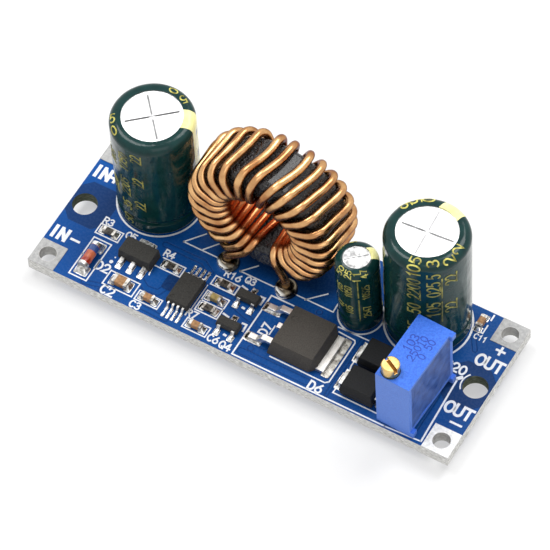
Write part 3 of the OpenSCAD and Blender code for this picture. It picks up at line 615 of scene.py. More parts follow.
def board_finish():
    """Lacquer on the faces with a painted shadow under the coil, pale edges, and olive walls where
    drilled.
    """
    material, tree, shader = new_finish("solder_mask", DULL)
    x, y, z = place_mm(tree)
    gaps = track_gaps(tree)
    bare = extreme(tree, "MAXIMUM", 0.0, FIELD, BARE_FIELDS)
    patch = extreme(tree, "MAXIMUM", 0.0, FIELD, COPPER_PATCHES)
    # The painted shadow of the coil on the board
    under = remap(use_group(tree, TRACK, COIL_SHADOW_RUN)[0], 0, COIL_FADE, COIL_SHADE, 0.0)
    cloud, _ = grain(tree, 0.1, 3.0)
    lacquer = blend(remap(x, *LACQUER_X), (18, 82, 158), (22, 79, 147))
    # The last tint is the painted shadow under the coil
    for mask, tint in (
        (cloud * 0.35, (15, 60, 126)), (patch * 0.6, (24, 86, 160)), (bare * 0.7, (20, 46, 88)),
        (gaps * 0.45, (12, 40, 92)), (under, (14, 20, 32)),
    ):
        lacquer = blend(mask, lacquer, tint)
    drawn_out = take(tree, "ShaderNodeCombineXYZ", {0: x, 1: y, 2: z * 5.0})
    noise = {"Vector": drawn_out, "Scale": 1.8, "Detail": 7.0}
    streaks = take(tree, "ShaderNodeTexNoise", noise)
    band = remap(streaks, *STREAK_BAND)
    laminate = blend(band, (184, 183, 178), (248, 247, 244))
    drilled = blend(band, (66, 74, 58), (124, 130, 112))
    off_hole = abs(x) - MOUNT_X
    laminate = blend(off_hole * off_hole + y * y < MOUNT_R ** 2, laminate, drilled)
    face = abs(facing(tree)[2]) > 0.5
    tone, weave = grain(tree, 3.0, 2.0)
    rough = remap(tone, 0, 1, 0.2, 0.34) + remap(face, 0, 1, 0.45, 0.0)
    steps = calc("MAXIMUM", gaps, bare) * -1.0
    relief = steps + weave * 0.3 + streaks * remap(face, 0, 1, 4.0, 0.0)
    surface(shader, blend(face, laminate, lacquer), rough, relief, 0.035)
    return material


BOARD = board_finish()
print("board finish:", len(BOARD.node_tree.nodes), "nodes")

# %% [markdown]
# ## Capacitor cans and sleeves
# Two of the cans lean a little, as hand-soldered ones do. A can that leans has its own
# upright frame: its foot is found from its box, and both finishes turn a point back into
# that frame before they draw on it. Objects could be turned instead, but every piece here
# stays unrotated.

# %% Where each can stands
# Lean, its direction, stripe and cross are angles in degrees; lines are the cross's strengths
CAP_KEYS = "height", "radius", "lean", "towards", "stripe", "half_width", "cross", "lines", "disc"
CAP_ROWS = {
    "input": (17.5, 5.15, 0.0, 0.0, 22, 1.3, 41, (0.95, 0.8), 218),
    "output": (17.5, 5.15, 2.6, 116, 75, 1.45, 4, (0.75, 0.6), 218),
    "small": (12.0, 2.65, 1.5, 180, 46, 0.85, 41, (0.0, 0.0), 96),
}
CAPS = {key: dict(zip(CAP_KEYS, row)) for key, row in CAP_ROWS.items()}
SEAT_Z = node_box("input_capacitor_sleeve")[0][2]


def stand_can(cap, low, high):
    """The foot: half a height back along the lean from the box's middle, one edge on the seat."""
    lean, towards = math.radians(cap["lean"]), math.radians(cap["towards"])
    back = math.sin(lean) * cap["height"] / 2 * np.array([math.cos(towards), math.sin(towards)])
    lifted = SEAT_Z + cap["radius"] * math.sin(lean)
    cap["foot"] = np.array([*((low + high)[:2] / 2 - back), lifted])
    cap["angle"], cap["hinge"] = lean, (-math.sin(towards), math.cos(towards), 0.0)
    cap["turn"] = np.array(Matrix.Rotation(lean, 3, Vector(cap["hinge"])))


for key, cap in CAPS.items():
    stand_can(cap, *node_box(key + "_capacitor_sleeve"))
print("cans stand at:", {key: cap["foot"].round(2).tolist() for key, cap in CAPS.items()})

# %% [markdown]
# The sleeve is dark green film, shrunk on with a few soft dents, with a pale stripe down
# the side of the negative lead. The stripe is a flat slab through the can: it lies where a
# point is on the stripe's side of the axis and close to the plane through axis and stripe.
# The film could be unwrapped onto a flat map, but a slab needs none.
# The bare top of the can is near white, with two scored lines where it would burst,
# drawn dark as painted shade in their grooves.

# %% Sleeve and can finishes
SLEEVE_GREEN = ((7, 43, 43), (15, 59, 57))
STRIPE = ((238, 231, 146), (254, 250, 190))
DASH_INK, DASH_HALF, DASH_SHARE, DASH_TOP = (12, 44, 40), 0.16, 0.3, 0.9
DASHES = 4
SCORE_SIDE, SCORE_REACH, SCORE_MIDDLE = (0.05, 0.19), 0.63, (0.2, 0.5)
FILM = {"Specular IOR Level": 0.14, "Coat Weight": 0.22, "Coat Roughness": 0.04}


def can_place(tree, cap):
    """Millimetres in the can's own frame: from its foot, turned back by its lean."""
    sockets = {
        "Vector": take(tree, "ShaderNodeTexCoord", output="Object"), "Center": cap["foot"] * MM,
        "Axis": cap["hinge"], "Angle": -cap["angle"],
    }
    upright = take(tree, "ShaderNodeVectorRotate", sockets, rotation_type="AXIS_ANGLE")
    return [at * (1 / MM) - foot for at, foot in zip(split(upright), cap["foot"])]


def along_and_aside(x, y, degrees):
    """How far a point lies along a line through the axis, and how far to its side."""
    c, s = math.cos(math.radians(degrees)), math.sin(math.radians(degrees))
    return x * c + y * s, abs(y * c - x * s)


def sleeve_finish(name, cap):
    """Green film with a stripe of the given half width and dashes along it."""
    material, tree, shader = new_finish(name, FILM)
    x, y, z = can_place(tree, cap)
    along, aside = along_and_aside(x, y, cap["stripe"])
    stripe = (aside < cap["half_width"]) * (along > 0.0)
    off_dash = abs(calc("FRACT", z * (DASHES / cap["height"])) - 0.5)
    dash = (off_dash < DASH_HALF) * (aside < cap["half_width"] * DASH_SHARE)
    dash = dash * (z < cap["height"] * DASH_TOP)
    _, dents = grain(tree, 0.16, 2.0)
    tone, _ = grain(tree, 0.8, 2.0)
    film = blend(tone, *SLEEVE_GREEN)
    pale = blend(dash, blend(tone, *STRIPE), DASH_INK)
    surface(shader, blend(stripe, film, pale), remap(tone, 0, 1, 0.1, 0.22), dents, 0.45)
    return material


def can_finish(name, cap):
    """Near-white aluminium with painted shade wherever a point is close to one of two crossed
    lines.
    """
    material, tree, shader = new_finish(name, METAL)
    x, y, _ = can_place(tree, cap)
    tone, relief = grain(tree, 1.4, 2.0)
    base = blend(tone, (cap["disc"],) * 3, (252, 252, 252))
    for turn, share in zip((0, 90), cap["lines"]):
        along, aside = along_and_aside(x, y, cap["cross"] + turn)
        line = remap(aside, *SCORE_SIDE, 1.0, 0.0) * (abs(along) < cap["radius"] * SCORE_REACH)
        line = line * remap(abs(along), *SCORE_MIDDLE, share * 0.3, share)
        # The dark along each scored line is painted shade of its groove
        base = blend(line, base, (58, 58, 60))
    surface(shader, base, remap(tone, 0, 1, 0.3, 0.45), relief, 0.012)
    return material


for key, cap in CAPS.items():
    cap["sleeve"] = sleeve_finish(key + "_sleeve", cap)
    cap["can"] = can_finish(key + "_can", cap)
print("sleeve finish:", len(CAPS["input"]["sleeve"].node_tree.nodes), "nodes")

# %% [markdown]
# ## Glass diode
# The little glass diode is a tinted tube with a painted ring at its cathode end. The ring
# could be a mesh of its own, but paint is thinner than any mesh, so a mask draws it.

# %% Diode finish
RING_Y, RING_HALF = (sum(node_box("glass_diode_body")) / 2)[1] + 0.85, 0.42


def diode_finish():
    """Orange glass that turns to a blue ring where y is within RING_HALF of RING_Y."""
    coat = {"Coat Weight": 0.6, "Coat Roughness": 0.05}
    glass = {"Transmission Weight": 0.25, "IOR": 1.5}
    material, tree, shader = new_finish("diode_glass", {**glass, **coat})
    _, y, _ = place_mm(tree)
    tone, _ = grain(tree, 1.2, 4.0)
    tinted = blend(tone, (186, 48, 24), (238, 128, 84))
    base = blend(abs(y - RING_Y) < RING_HALF, tinted, (52, 92, 168))
    surface(shader, base, remap(tone, 0, 1, 0.05, 0.15))
    return material


DIODE_GLASS = diode_finish()
print("diode ring at y", round(RING_Y, 2), "mm")

# %% [markdown]
# ## Finishes onto the frame's own pieces
# A solid whose shape is already right keeps its mesh and only takes a finish. One table
# names the special nodes, and the record's material slots fill in the rest. Naming all
# nodes would work too, but a new one could then be left bare.

# %% Assign finishes
TERMINALS = ["in_plus_terminal", "in_minus_terminal", "out_plus_terminal", "out_minus_terminal"]
CHIPS = ["controller_chip_body", "regulator_body", "front_transistor_body", "rear_transistor_body"]
# The last terminal takes the painted lighter copy of terminal tin
NODE_FINISH = {
    "circuit_board": BOARD, "inductor_core": CORE, "inductor_winding": COPPER,
    "trimmer_housing": TRIMMER_BLUE, "trimmer_resin": RESIN, "trimmer_screw": BRASS,
    "power_transistor_body": POWER_MOULD, "power_transistor_frame": TAB_TIN,
    "chip_resistor_terminals": END_TIN, "chip_capacitor_terminals": END_TIN,
    "chip_capacitor_4": PALE_CERAMIC, "glass_diode_body": DIODE_GLASS, TERMINALS[-1]: BRIGHT_TIN,
    **{name: LAND_TIN for name in TERMINALS[:-1]}, **{name: CHIP_MOULD for name in CHIPS},
    **{key + "_capacitor_sleeve": cap["sleeve"] for key, cap in CAPS.items()},
    **{key + "_capacitor_can": cap["can"] for key, cap in CAPS.items()},
}
SLOT_FINISH = {
    "tin": TIN, "solder": SOLDER, "seal_rubber": RUBBER, "mould_black": MOULD,
    "resistor_black": RESISTOR, "chip_ceramic": CERAMIC,
}
node_slot = {row["node"]: row["material_slot"] for row in frame["record"]["subparts"]}
for name, piece in frame["nodes"].items():
    piece.data.materials.clear()
    piece.data.materials.append(NODE_FINISH.get(name) or SLOT_FINISH[node_slot[name]])
print("finished nodes:", len(frame["nodes"]))

# %% [markdown]
# ## Soft edges on moulded parts
# Moulded bodies have edges a little rounded, which is what catches the light. Each is a
# copy of the frame's mesh with its triangles merged into whole faces and a small bevel.
# The Bevel shader node could round them too, but then the outline would stay sharp.

# %% Bevelled copies
WELD, FLAT, EDGE, BEVEL_STEPS = 1e-7, math.radians(1), math.radians(25), 2
SOFT_EDGES = {
    "power_transistor_body": 0.09, "front_rectifier_body": 0.08, "rear_rectifier_body": 0.08,
    "controller_chip_body": 0.05, "regulator_body": 0.06, "front_transistor_body": 0.05,
    "rear_transistor_body": 0.05, "trimmer_housing": 0.09, "power_transistor_frame": 0.06,
}


def softened(name, width):
    """A node's mesh merged and bevelled by width, standing for the node."""
    mesh = frame["nodes"][name].data.copy()
    shell = bmesh.new()
    shell.from_mesh(mesh)
    bmesh.ops.remove_doubles(shell, verts=shell.verts, dist=WELD)
    bmesh.ops.dissolve_limit(shell, angle_limit=FLAT, verts=shell.verts, edges=shell.edges)
    for face in shell.faces:
        face.smooth = False
    shell.to_mesh(mesh)
    shell.free()
    piece = add_object(name + "_moulding", mesh)
    edge = piece.modifiers.new("edge", "BEVEL")
    edge.width = width * MM
    edge.segments = BEVEL_STEPS
    edge.limit_method = "ANGLE"
    edge.angle_limit = EDGE
    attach(piece, "screw" if name == "trimmer_screw" else "board")
    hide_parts(name)


for name, width in SOFT_EDGES.items():
    softened(name, width)
print("bevelled:", len(SOFT_EDGES))

# %% [markdown]
# ## The winding
# One enamelled wire goes in and out of the ring. Seen round the ring's own axis, each turn
# is a rounded rectangle whose angle drifts from its place in the hole to its place on the
# rim. All turns are one array: radius and depth come from two bends, the angle from an
# S-shaped curve over the length of half a turn. A turn lies further round behind than in
# front, so the wire crosses the rim aslant, and the first strands fan out in the hole.
# An Array modifier round the ring could do it, but all its turns would be alike.

# %% Shape of half a turn
CORE_HOLE_D, CORE_EDGE = 10.4, 0.8
WIRE_D, WIRE_GAP, FACE_GAP, STRAND_GAP = 1.05, 0.08, 0.21, 0.04
STRAND_IN = CORE_HOLE_D / 2 - WIRE_GAP - WIRE_D / 2
STRAND_OUT = CORE_OD / 2 + FACE_GAP + WIRE_D / 2
STRAND_Y = CORE_H / 2 + FACE_GAP + WIRE_D / 2
HOLE_BEND = CORE_EDGE + WIRE_D / 2 + 0.3
RIM_BEND = CORE_EDGE + WIRE_D / 2 + 0.5
BEND_STEPS, RIM_STEPS, WIRE_SIDES = 9, 5, 20

bend = np.linspace(0, np.pi / 2, BEND_STEPS)
hole_r = STRAND_IN + HOLE_BEND * (1 - np.cos(bend))
hole_y = STRAND_Y - HOLE_BEND * (1 - np.sin(bend))
rim_r = STRAND_OUT - RIM_BEND * (1 - np.sin(bend))
rim_y = STRAND_Y - RIM_BEND * (1 - np.cos(bend))
half_r = np.concatenate([hole_r, rim_r, np.full(RIM_STEPS, STRAND_OUT)])
half_y = np.concatenate([hole_y, rim_y, np.linspace(rim_y[-1], 0, RIM_STEPS + 1)[1:]])
half_lengths = np.hypot(np.diff(half_r), np.diff(half_y))
share = np.concatenate([[0], np.cumsum(half_lengths)]) / half_lengths.sum()
print("half a turn:", len(share), "points,", round(half_lengths.sum(), 2), "mm")

# %% All the turns
# Groups of turns as (turns, angle of the first, step), in degrees
TURN_GROUPS = [(10, 227.5, 12.9), (2, 94, 10.5), (2, 69, 10.5), (2, 47, 11.5), (7, 22, 11.2)]
TURN_SLOPE, HOLE_GAP_MID, HOLE_FAN = np.radians([15, 277, 13])

group_angles = [first - step * np.arange(count) for count, first, step in TURN_GROUPS]
turn_angle = np.radians(np.concatenate(group_angles))
turns = len(turn_angle)
hole_step = 2 * math.asin((WIRE_D + STRAND_GAP) / (2 * STRAND_IN))
strand = np.arange(turns + 2)
hole_front = HOLE_GAP_MID - math.pi + (turns + 1) * hole_step / 2 - hole_step * strand
hole_back = hole_front + HOLE_FAN * 0.5 ** strand


def on_coil(radius, depth, angle):
    """Coil coordinates to space: x = r cos a, y = depth, z = r sin a, from the coil's middle."""
    parts = np.broadcast_arrays(radius * np.cos(angle), depth, radius * np.sin(angle))
    return np.stack(parts, axis=-1) + COIL


def round_coil(angle, shape):
    """The direction round the coil at an angle, which lies across every turn of wire."""
    way = np.stack([-np.sin(angle), np.zeros_like(angle), np.cos(angle)], axis=-1)
    return np.broadcast_to(way, shape)


def eased(start, end, slope):
    """From start, level, to end at a slope: a + (b - a)(3x^2 - 2x^3) + slope (x^3 - x^2)."""
    step = 3 * share ** 2 - 2 * share ** 3
    return start + (end - start) * step + slope * (share ** 3 - share ** 2)


front_angle = eased(hole_front[1:-1, None], turn_angle[:, None], -TURN_SLOPE)
back_angle = eased(hole_back[2:, None], turn_angle[:, None], TURN_SLOPE)[:, ::-1][:, 1:]
turn_r = np.concatenate([half_r, half_r[::-1][1:]])
turn_y = np.concatenate([-half_y, half_y[::-1][1:]])
angles = np.concatenate([front_angle, back_angle], axis=1)
turn_route = on_coil(turn_r, turn_y, angles)
turn_across = -round_coil(angles, turn_route.shape)
print("winding:", turns, "turns, hole step", round(math.degrees(hole_step), 2), "degrees")

# %% Leads and the return behind the hole
LEAD_END = node_box("inductor_winding")[0][2]
FRONT = np.array([0.0, -1.0, 0.0])
CURVE = np.linspace(0.05, 0.95, 14)[:, None]
LOOP = np.linspace(0, np.pi, 13)[:, None]


def unit(vectors):
    """Vectors made one long."""
    return vectors / np.linalg.norm(vectors, axis=-1, keepdims=True)


def lead_route(lead_x, angle, slant, bow, pulls):
    """Straight up through the joint, a cubic curve to the face, a quarter bend into the hole.

    The bend opens outwards from the coil's axis, or by the slant's share towards the joint."""
    heights = (LEAD_END, BOARD_TOP, JOINT_TOP + WIRE_D / 2)
    upright = np.array([[lead_x, JOINT_Y, z] for z in heights])
    start, edge = upright[-1], on_coil(STRAND_IN, HOLE_BEND - STRAND_Y, angle)
    to_joint = (start - edge) * [1, 0, 1]
    outwards = np.array([math.cos(angle), 0, math.sin(angle)])
    opening = unit((1 - slant) * outwards + slant * unit(to_joint))
    quarter = np.outer(1 - np.cos(bend), opening) + np.outer(np.sin(bend), FRONT)
    into_hole = (edge + HOLE_BEND * quarter)[::-1]
    t, end = CURVE, into_hole[0]
    pull_up = start + bow * FRONT + [0, 0, pulls[0]]
    pull_in = end + bow * FRONT + pulls[1] * opening
    curve = (1 - t) ** 3 * start + 3 * (1 - t) ** 2 * t * pull_up
    curve = curve + 3 * (1 - t) * t ** 2 * pull_in + t ** 3 * end
    route = np.concatenate([upright, curve, into_hole])
    return route, round_coil(np.full(len(route), angle), route.shape)


middle, half = (hole_back[0] + hole_back[1]) / 2, (hole_back[0] - hole_back[1]) / 2
loop_axis = np.array([-math.sin(middle), 0, math.cos(middle)])
loop_across = np.cos(LOOP) * loop_axis + np.sin(LOOP) * [0, 1, 0]
loop_middle = on_coil(STRAND_IN * math.cos(half), STRAND_Y - HOLE_BEND, middle)
loop_route = loop_middle + STRAND_IN * math.sin(half) * loop_across
first_route, first_across = lead_route(LEAD_X[0], hole_front[0], 0.7, 0.2, (0.3, 1.0))
last_route, last_across = lead_route(LEAD_X[1], hole_front[-1], 0.0, 0.0, (0.6, 0.6))
route = [first_route, loop_route, turn_route.reshape(-1, 3), last_route[::-1]]
across = [first_across, loop_across, turn_across.reshape(-1, 3), -last_across[::-1]]


def wire_rings(path, across_hint, diameter, sides):
    """Circles square to the path: the hint, made square to the way, and their cross product."""
    way = unit(np.gradient(path, axis=0))
    u = unit(across_hint - way * np.sum(across_hint * way, axis=1, keepdims=True))
    v = np.cross(way, u)
    t = full_turn(sides)[None, :, None]
    ring = np.cos(t) * u[:, None] + np.sin(t) * v[:, None]
    return path[:, None] + diameter / 2 * ring


winding = swept(wire_rings(np.concatenate(route), np.concatenate(across), WIRE_D, WIRE_SIDES))
make_piece("winding", winding, COPPER, stands_for=["inductor_winding"])

# %% [markdown]
# ## Solder
# Melted solder leaves a bright mound at each land and a dome round each wire end. A mound
# is a stack of shrinking rounded rectangles whose middle leans towards the lead it wets.
# Metaballs flow together like solder, but they don't keep to the outline of a land.

# %% Coil joints
# These place the painted highlight at the joint's front left, where the flux gives way
FLUX_AND_GLINT_EDGE, GLINT_TURN = (-0.45, -0.85), 0.5
# The joint below the board's top as (radius past the wire, height)
JOINT_UNDER = [(0.2, BOARD_TOP), (0.2, 0.0), (0.55, 0.0), (0.36, -0.36), (0.12, -0.9)]


def joint_finish():
    """Solder under brown flux, bare with a painted highlight at front left, where normal y + x/2 is
    low.
    """
    material, tree, shader = new_finish("fluxed_solder_painted_glint", {**METAL, "Coat Weight": 0.3})
    tone, relief = grain(tree, 0.6, 4.0)
    normal_x, normal_y, _ = facing(tree)
    flux = blend(tone, (56, 48, 38), (132, 120, 98))
    # The bright bare solder at the front left is a painted highlight
    bare = remap(normal_x * GLINT_TURN + normal_y, *FLUX_AND_GLINT_EDGE)
    base = blend(bare, flux, (248, 246, 240))
    surface(shader, base, remap(tone, 0, 1, 0.14, 0.3), relief, 0.05)
    return material


def joint_profile(top_z, dome_r, wire_r):
    """Down from the wire: a dome that swells to the board, the plug in the hole, a cone below."""
    t = np.linspace(math.radians(86), 0, 14)
    dome_z = BOARD_TOP + (top_z - BOARD_TOP) * np.sin(t) ** 0.8
    dome = np.stack([wire_r + (dome_r - wire_r) * np.cos(t), dome_z], axis=1)
    return np.concatenate([dome, np.array(JOINT_UNDER) + [wire_r, 0]])[::-1]


profile = joint_profile(JOINT_TOP, JOINT_R, WIRE_D / 2 - 0.02)
joints = [lathed(profile, (lead_x, JOINT_Y, 0)) for lead_x in LEAD_X]
make_piece("coil_joints", joined(joints), joint_finish(), stands_for=["inductor_solder"])

# %% Shape of a land and of a mound
LAND_T, PAST_END = 0.075, 0.1
CHIP_PITCH, POWER_PITCH = 0.65, 2.286
FLAT_LAND = {"power": 12.0, "steps": 4}


def mound(centre, size, height, shift=(0.0, 0.0), base=0.0, power=5.0, steps=7, sides=40):
    """Rings of a rounded rectangle |x|^p + |y|^p = s^p, shrinking in s while z climbs to height."""
    s = np.linspace(1.0, 0.12, steps)[:, None]
    t = full_turn(sides)[None, :]
    reach = (np.abs(np.cos(t)) ** power + np.abs(np.sin(t)) ** power) ** (-1 / power)
    rise = 1 - s ** 2.2
    x = centre[0] + size[0] / 2 * s * reach * np.cos(t) + shift[0] * rise
    y = centre[1] + size[1] / 2 * s * reach * np.sin(t) + shift[1] * rise
    z = np.broadcast_to(BOARD_TOP + base + height * rise, x.shape)
    skirt = np.stack([x[0], y[0], np.full(sides, BOARD_TOP)], axis=-1)[None]
    return swept(np.concatenate([skirt, np.stack([x, y, z], axis=-1)]))


lands, mounds = [], []


def solder_on(centre, size, height, towards=(0.0, 0.0)):
    """A flat tinned land with a mound on it that leans towards the lead."""
    lands.append(mound(centre, size, 0.012, base=LAND_T - 0.02, **FLAT_LAND))
    mounds.append(mound(centre, np.array(size) * 0.9, height, shift=towards, base=0.03))


def solder_ends(low, high, x, size, height, lean):
    """Solder just past both ends of a lead that runs along y."""
    for end_y, side in ((low[1], -1), (high[1], 1)):
        solder_on((x, end_y + side * PAST_END), size, height, (0, -side * lean))


# %% Solder on every land
for name in frame["nodes"]:
    if name.startswith(("chip_resistor_", "chip_capacitor_")) and not name.endswith("terminals"):
        low, high = node_box(name)
        middle_of, half_size = (low + high) / 2, (high - low) / 2
        axis = int(half_size[1] > half_size[0])
        for side in (-1, 1):
            place, toward, size = middle_of.copy(), np.zeros(2), np.zeros(2)
            place[axis] += side * (half_size[axis] + 0.12)
            toward[axis] = -side * 0.2
            size[axis], size[1 - axis] = 0.85, 2 * half_size[1 - axis] + 0.3
            solder_on(place[:2], size, half_size[2] * 1.1, toward)

low, high = node_box("controller_chip_leads")
for lead_x in (low[0] + high[0]) / 2 + CHIP_PITCH * (np.arange(4) - 1.5):
    solder_ends(low, high, lead_x, (0.36, 1.5), 0.16, 0.25)

for which in ("front", "rear"):
    low, high = node_box(which + "_transistor_leads")
    legs = [(low[0] + 0.2, low[1], -1), (high[0] - 0.2, low[1], -1)]
    for lead_x, end_y, side in legs + [((low[0] + high[0]) / 2, high[1], 1)]:
        solder_on((lead_x, end_y + side * PAST_END), (0.75, 0.95), 0.24, (0, -side * 0.3))
    low, high = node_box(which + "_rectifier_terminals")
    for end_x, side in ((low[0], -1), (high[0], 1)):
        place = (end_x + side * PAST_END, (low[1] + high[1]) / 2)
        solder_on(place, (1.1, 2.4), 0.42, (-side * 0.3, 0))

low, high = node_box("regulator_leads")
for lead_x in (low[0] + 0.25, (low[0] + high[0]) / 2, high[0] - 0.25):
    solder_on((lead_x, low[1] + 0.15), (0.75, 1.5), 0.2, (0, 0.2))
solder_on(((low[0] + high[0]) / 2, high[1] - 0.2), (2.3, 1.2), 0.25, (0, -0.2))

low, high = node_box("power_transistor_frame")
power_y = (low[1] + high[1]) / 2
for side in (-1, 1):
    solder_on((low[0] + 0.55, power_y + side * POWER_PITCH), (2.4, 1.35), 0.4, (0.2, 0))
tab_land = mound((high[0] + 0.25, power_y), (1.1, 5.9), 0.02, base=LAND_T, **FLAT_LAND)

low, high = node_box("glass_diode_end_caps")
solder_ends(low, high, (low[0] + high[0]) / 2, (1.75, 1.4), 0.75, 0.3)

make_piece("lands", joined(lands), TIN)
make_piece("tab_land", tab_land, END_TIN)
make_piece("solder_mounds", joined(mounds), SOLDER)

# %% [markdown]
# ## Plated holes
# The copper of a terminal goes on through its wire hole as a thin tinned tube. Only the
# hole's wall could be painted, but a ring with its own thickness also shows at the rim.

# %% Plated walls of the wire holes
PLATING_T, WIRE_HOLE_R = 0.04, 1.1


def plated_wall(terminal):
    """A thin ring section turned about the hole's axis: the plating inside a wire hole."""
    low, high = node_box(terminal)
    centre = (low + high) / 2
    t = full_turn(56)
    radius = WIRE_HOLE_R - PLATING_T * np.array([0, 0, 1, 1])
    height = np.array([high[2], low[2], low[2], high[2]])
    rings = [np.outer(np.cos(t), radius), np.outer(np.sin(t), radius), np.tile(height, (len(t), 1))]
    return swept(np.stack(rings, axis=-1) + [centre[0], centre[1], 0], closed=True)


make_piece("plated_walls", joined([plated_wall(name) for name in TERMINALS]), PLATING)

# %% [markdown]
# ## Silkscreen
# White ink marks outlines, ends and part places. Every mark is a ribbon: a low rectangle
# carried along a line of points, with mitred corners. Letters are drawn the same way, as
# strokes on a small grid, so one function serves outlines and words. Text objects could
# write the words, but their letters are filled outlines, and board print is drawn in lines.

# %% Ribbons
INK_T, SHARPEST = 0.03, 0.35


def ribbon(points, width, closed=False, thickness=INK_T):
    """A rectangle carried along flat points; at a corner the offset is the two normals' mitre."""
    line = np.array(points, float)
    ahead = np.roll(line, -1, axis=0) - line
    if not closed:
        ahead[-1] = ahead[-2]
    ahead = unit(ahead)
    behind = np.roll(ahead, 1, axis=0)
    if not closed:
        behind[0] = ahead[0]
        line[0] -= ahead[0] * width / 2
        line[-1] += ahead[-1] * width / 2
    normal = np.stack([-ahead[:, 1], ahead[:, 0]], axis=1)
    before = np.stack([-behind[:, 1], behind[:, 0]], axis=1)
    turn = 1 + np.sum(normal * before, axis=1, keepdims=True)
    mitre = (normal + before) / np.maximum(turn, SHARPEST) * width / 2
    low, high = np.zeros((len(line), 1)), np.full((len(line), 1), thickness)
    sides = [(line + mitre, low), (line + mitre, high), (line - mitre, high), (line - mitre, low)]
    return swept(np.stack([np.hstack(side) for side in sides], axis=1), closed)


def arc(cx, cy, rx, ry, start, end, count=13):
    """Points of an ellipse's arc between two angles in degrees."""
    t = np.radians(np.linspace(start, end, count))
    return np.stack([cx + rx * np.cos(t), cy + ry * np.sin(t)], axis=1)


def path(*stretches):
    """Points and arcs as one line."""
    return np.concatenate([np.atleast_2d(np.array(stretch, float)) for stretch in stretches])


def dense(points, step):
    """The same line with more points, so that no stretch is longer than step."""
    line = np.array(points, float)
    along = np.concatenate([[0], np.cumsum(np.linalg.norm(np.diff(line, axis=0), axis=1))])
    places = np.unique(np.round(np.union1d(along, np.arange(0, along[-1], step)), 4))
    return np.stack([np.interp(places, along, axis) for axis in line.T], axis=1)


# %% Stroke letters on a cell 0.62 wide and 1 high
GLYPHS = {
    "I": [path((0.31, 0), (0.31, 1))],
    "N": [path((0, 0), (0, 1)), path((0.05, 0.92), (0.57, 0.08)), path((0.62, 0), (0.62, 1))],
    "O": [arc(0.33, 0.5, 0.36, 0.5, 90, 450, 29)],
    "U": [path((0, 1), arc(0.31, 0.31, 0.31, 0.31, 180, 360), (0.62, 1))],
    "T": [path((0, 1), (0.62, 1)), path((0.31, 0.95), (0.31, 0))],
    "R": [path((0, 0), (0, 1)),
          path((0.05, 1), (0.3, 1), arc(0.33, 0.74, 0.26, 0.26, 90, -90), (0.05, 0.48)),
          path((0.34, 0.44), (0.62, 0))],
    "C": [arc(0.34, 0.5, 0.34, 0.5, 50, 310, 19)],
    "D": [path((0, 0), (0, 1), (0.2, 1), arc(0.24, 0.5, 0.36, 0.5, 80, -80), (0.2, 0), (0, 0))],
    "Q": [arc(0.33, 0.5, 0.33, 0.5, 90, 450, 25), path((0.38, 0.28), (0.62, 0))],
    "1": [path((0.12, 0.78), (0.34, 1), (0.34, 0))],
    "2": [path(arc(0.31, 0.7, 0.29, 0.3, 165, -40), (0, 0), (0.62, 0))],
    "3": [arc(0.28, 0.75, 0.27, 0.25, 150, -90), arc(0.28, 0.26, 0.32, 0.26, 90, -150)],
    "4": [path((0.46, 0), (0.46, 1)), path((0.42, 0.96), (0, 0.3), (0.64, 0.3))],
    "5": [path((0.56, 1), (0.08, 1), (0.05, 0.58), arc(0.28, 0.32, 0.31, 0.32, 110, -140))],
    "6": [arc(0.31, 0.32, 0.31, 0.32, 150, 510, 21), path((0.5, 1), (0.06, 0.46))],
    "7": [path((0, 1), (0.6, 1), (0.2, 0))],
    "0": [arc(0.31, 0.5, 0.31, 0.5, 90, 450, 25)],
    "+": [path((0, 0.5), (0.64, 0.5)), path((0.32, 0.18), (0.32, 0.82))],
    "-": [path((0, 0.5), (0.66, 0.5))],
}
STROKE_STEP = 0.004
LETTER_PITCH, LETTER_MIDDLE = 0.84, 0.31


def word(text, centre, height, stroke, turn=0.0, spread=1.0, squeeze=1.0, step=None):
    """Strokes of a word round its centre: letters side by side, scaled to height, then turned.

    A stroke that ends where it starts is a loop, and later strokes lie a little higher."""
    pitch = LETTER_PITCH * height * spread
    turned = np.array([[math.cos(turn), math.sin(turn)], [-math.sin(turn), math.cos(turn)]])
    shapes = []
    for place, letter in enumerate(text):
        shift = pitch * (place - (len(text) - 1) / 2) - LETTER_MIDDLE * height * squeeze
        for layer, line in enumerate(GLYPHS.get(letter, [])):
            loop = np.allclose(line[0], line[-1])
            flat = line * [height * squeeze, height] + [shift, -height / 2]
            flat = dense(flat, step) if step else flat
            points = np.array(centre) + (flat[:-1] if loop else flat) @ turned
            shapes.append(ribbon(points, stroke, loop, INK_T + STROKE_STEP * layer))
    return shapes


print("letters:", len(GLYPHS))

# %% Outlines on the board
LINE = 0.17
# Boxes as (x, x, y, y), dots as (x, y, radius), rings round the cans as (radius, width)
BOXES = [
    (-23.45, -20.35, -2.88, -1.43), (-23.2, -20.8, -9.3, -3.5), (-18.95, -14.93, -8.65, -6.6),
    (-14.5, -11.4, -8.71, -7.34), (-7.65, -4.4, -2.55, -1.23), (-7.5, -4.5, -6.5, -3.5),
    (-7.6, -4.45, -9.31, -7.9),
]
DOTS = [(-19.59, -5.54, 0.24), (-19.47, -4.8, 0.1), (-23.17, -6.21, 0.14), (-21.35, -5.2, 0.14)]
CAN_RINGS = {"input": (5.24, 0.22), "output": (5.26, 0.24), "small": (2.76, 0.2)}
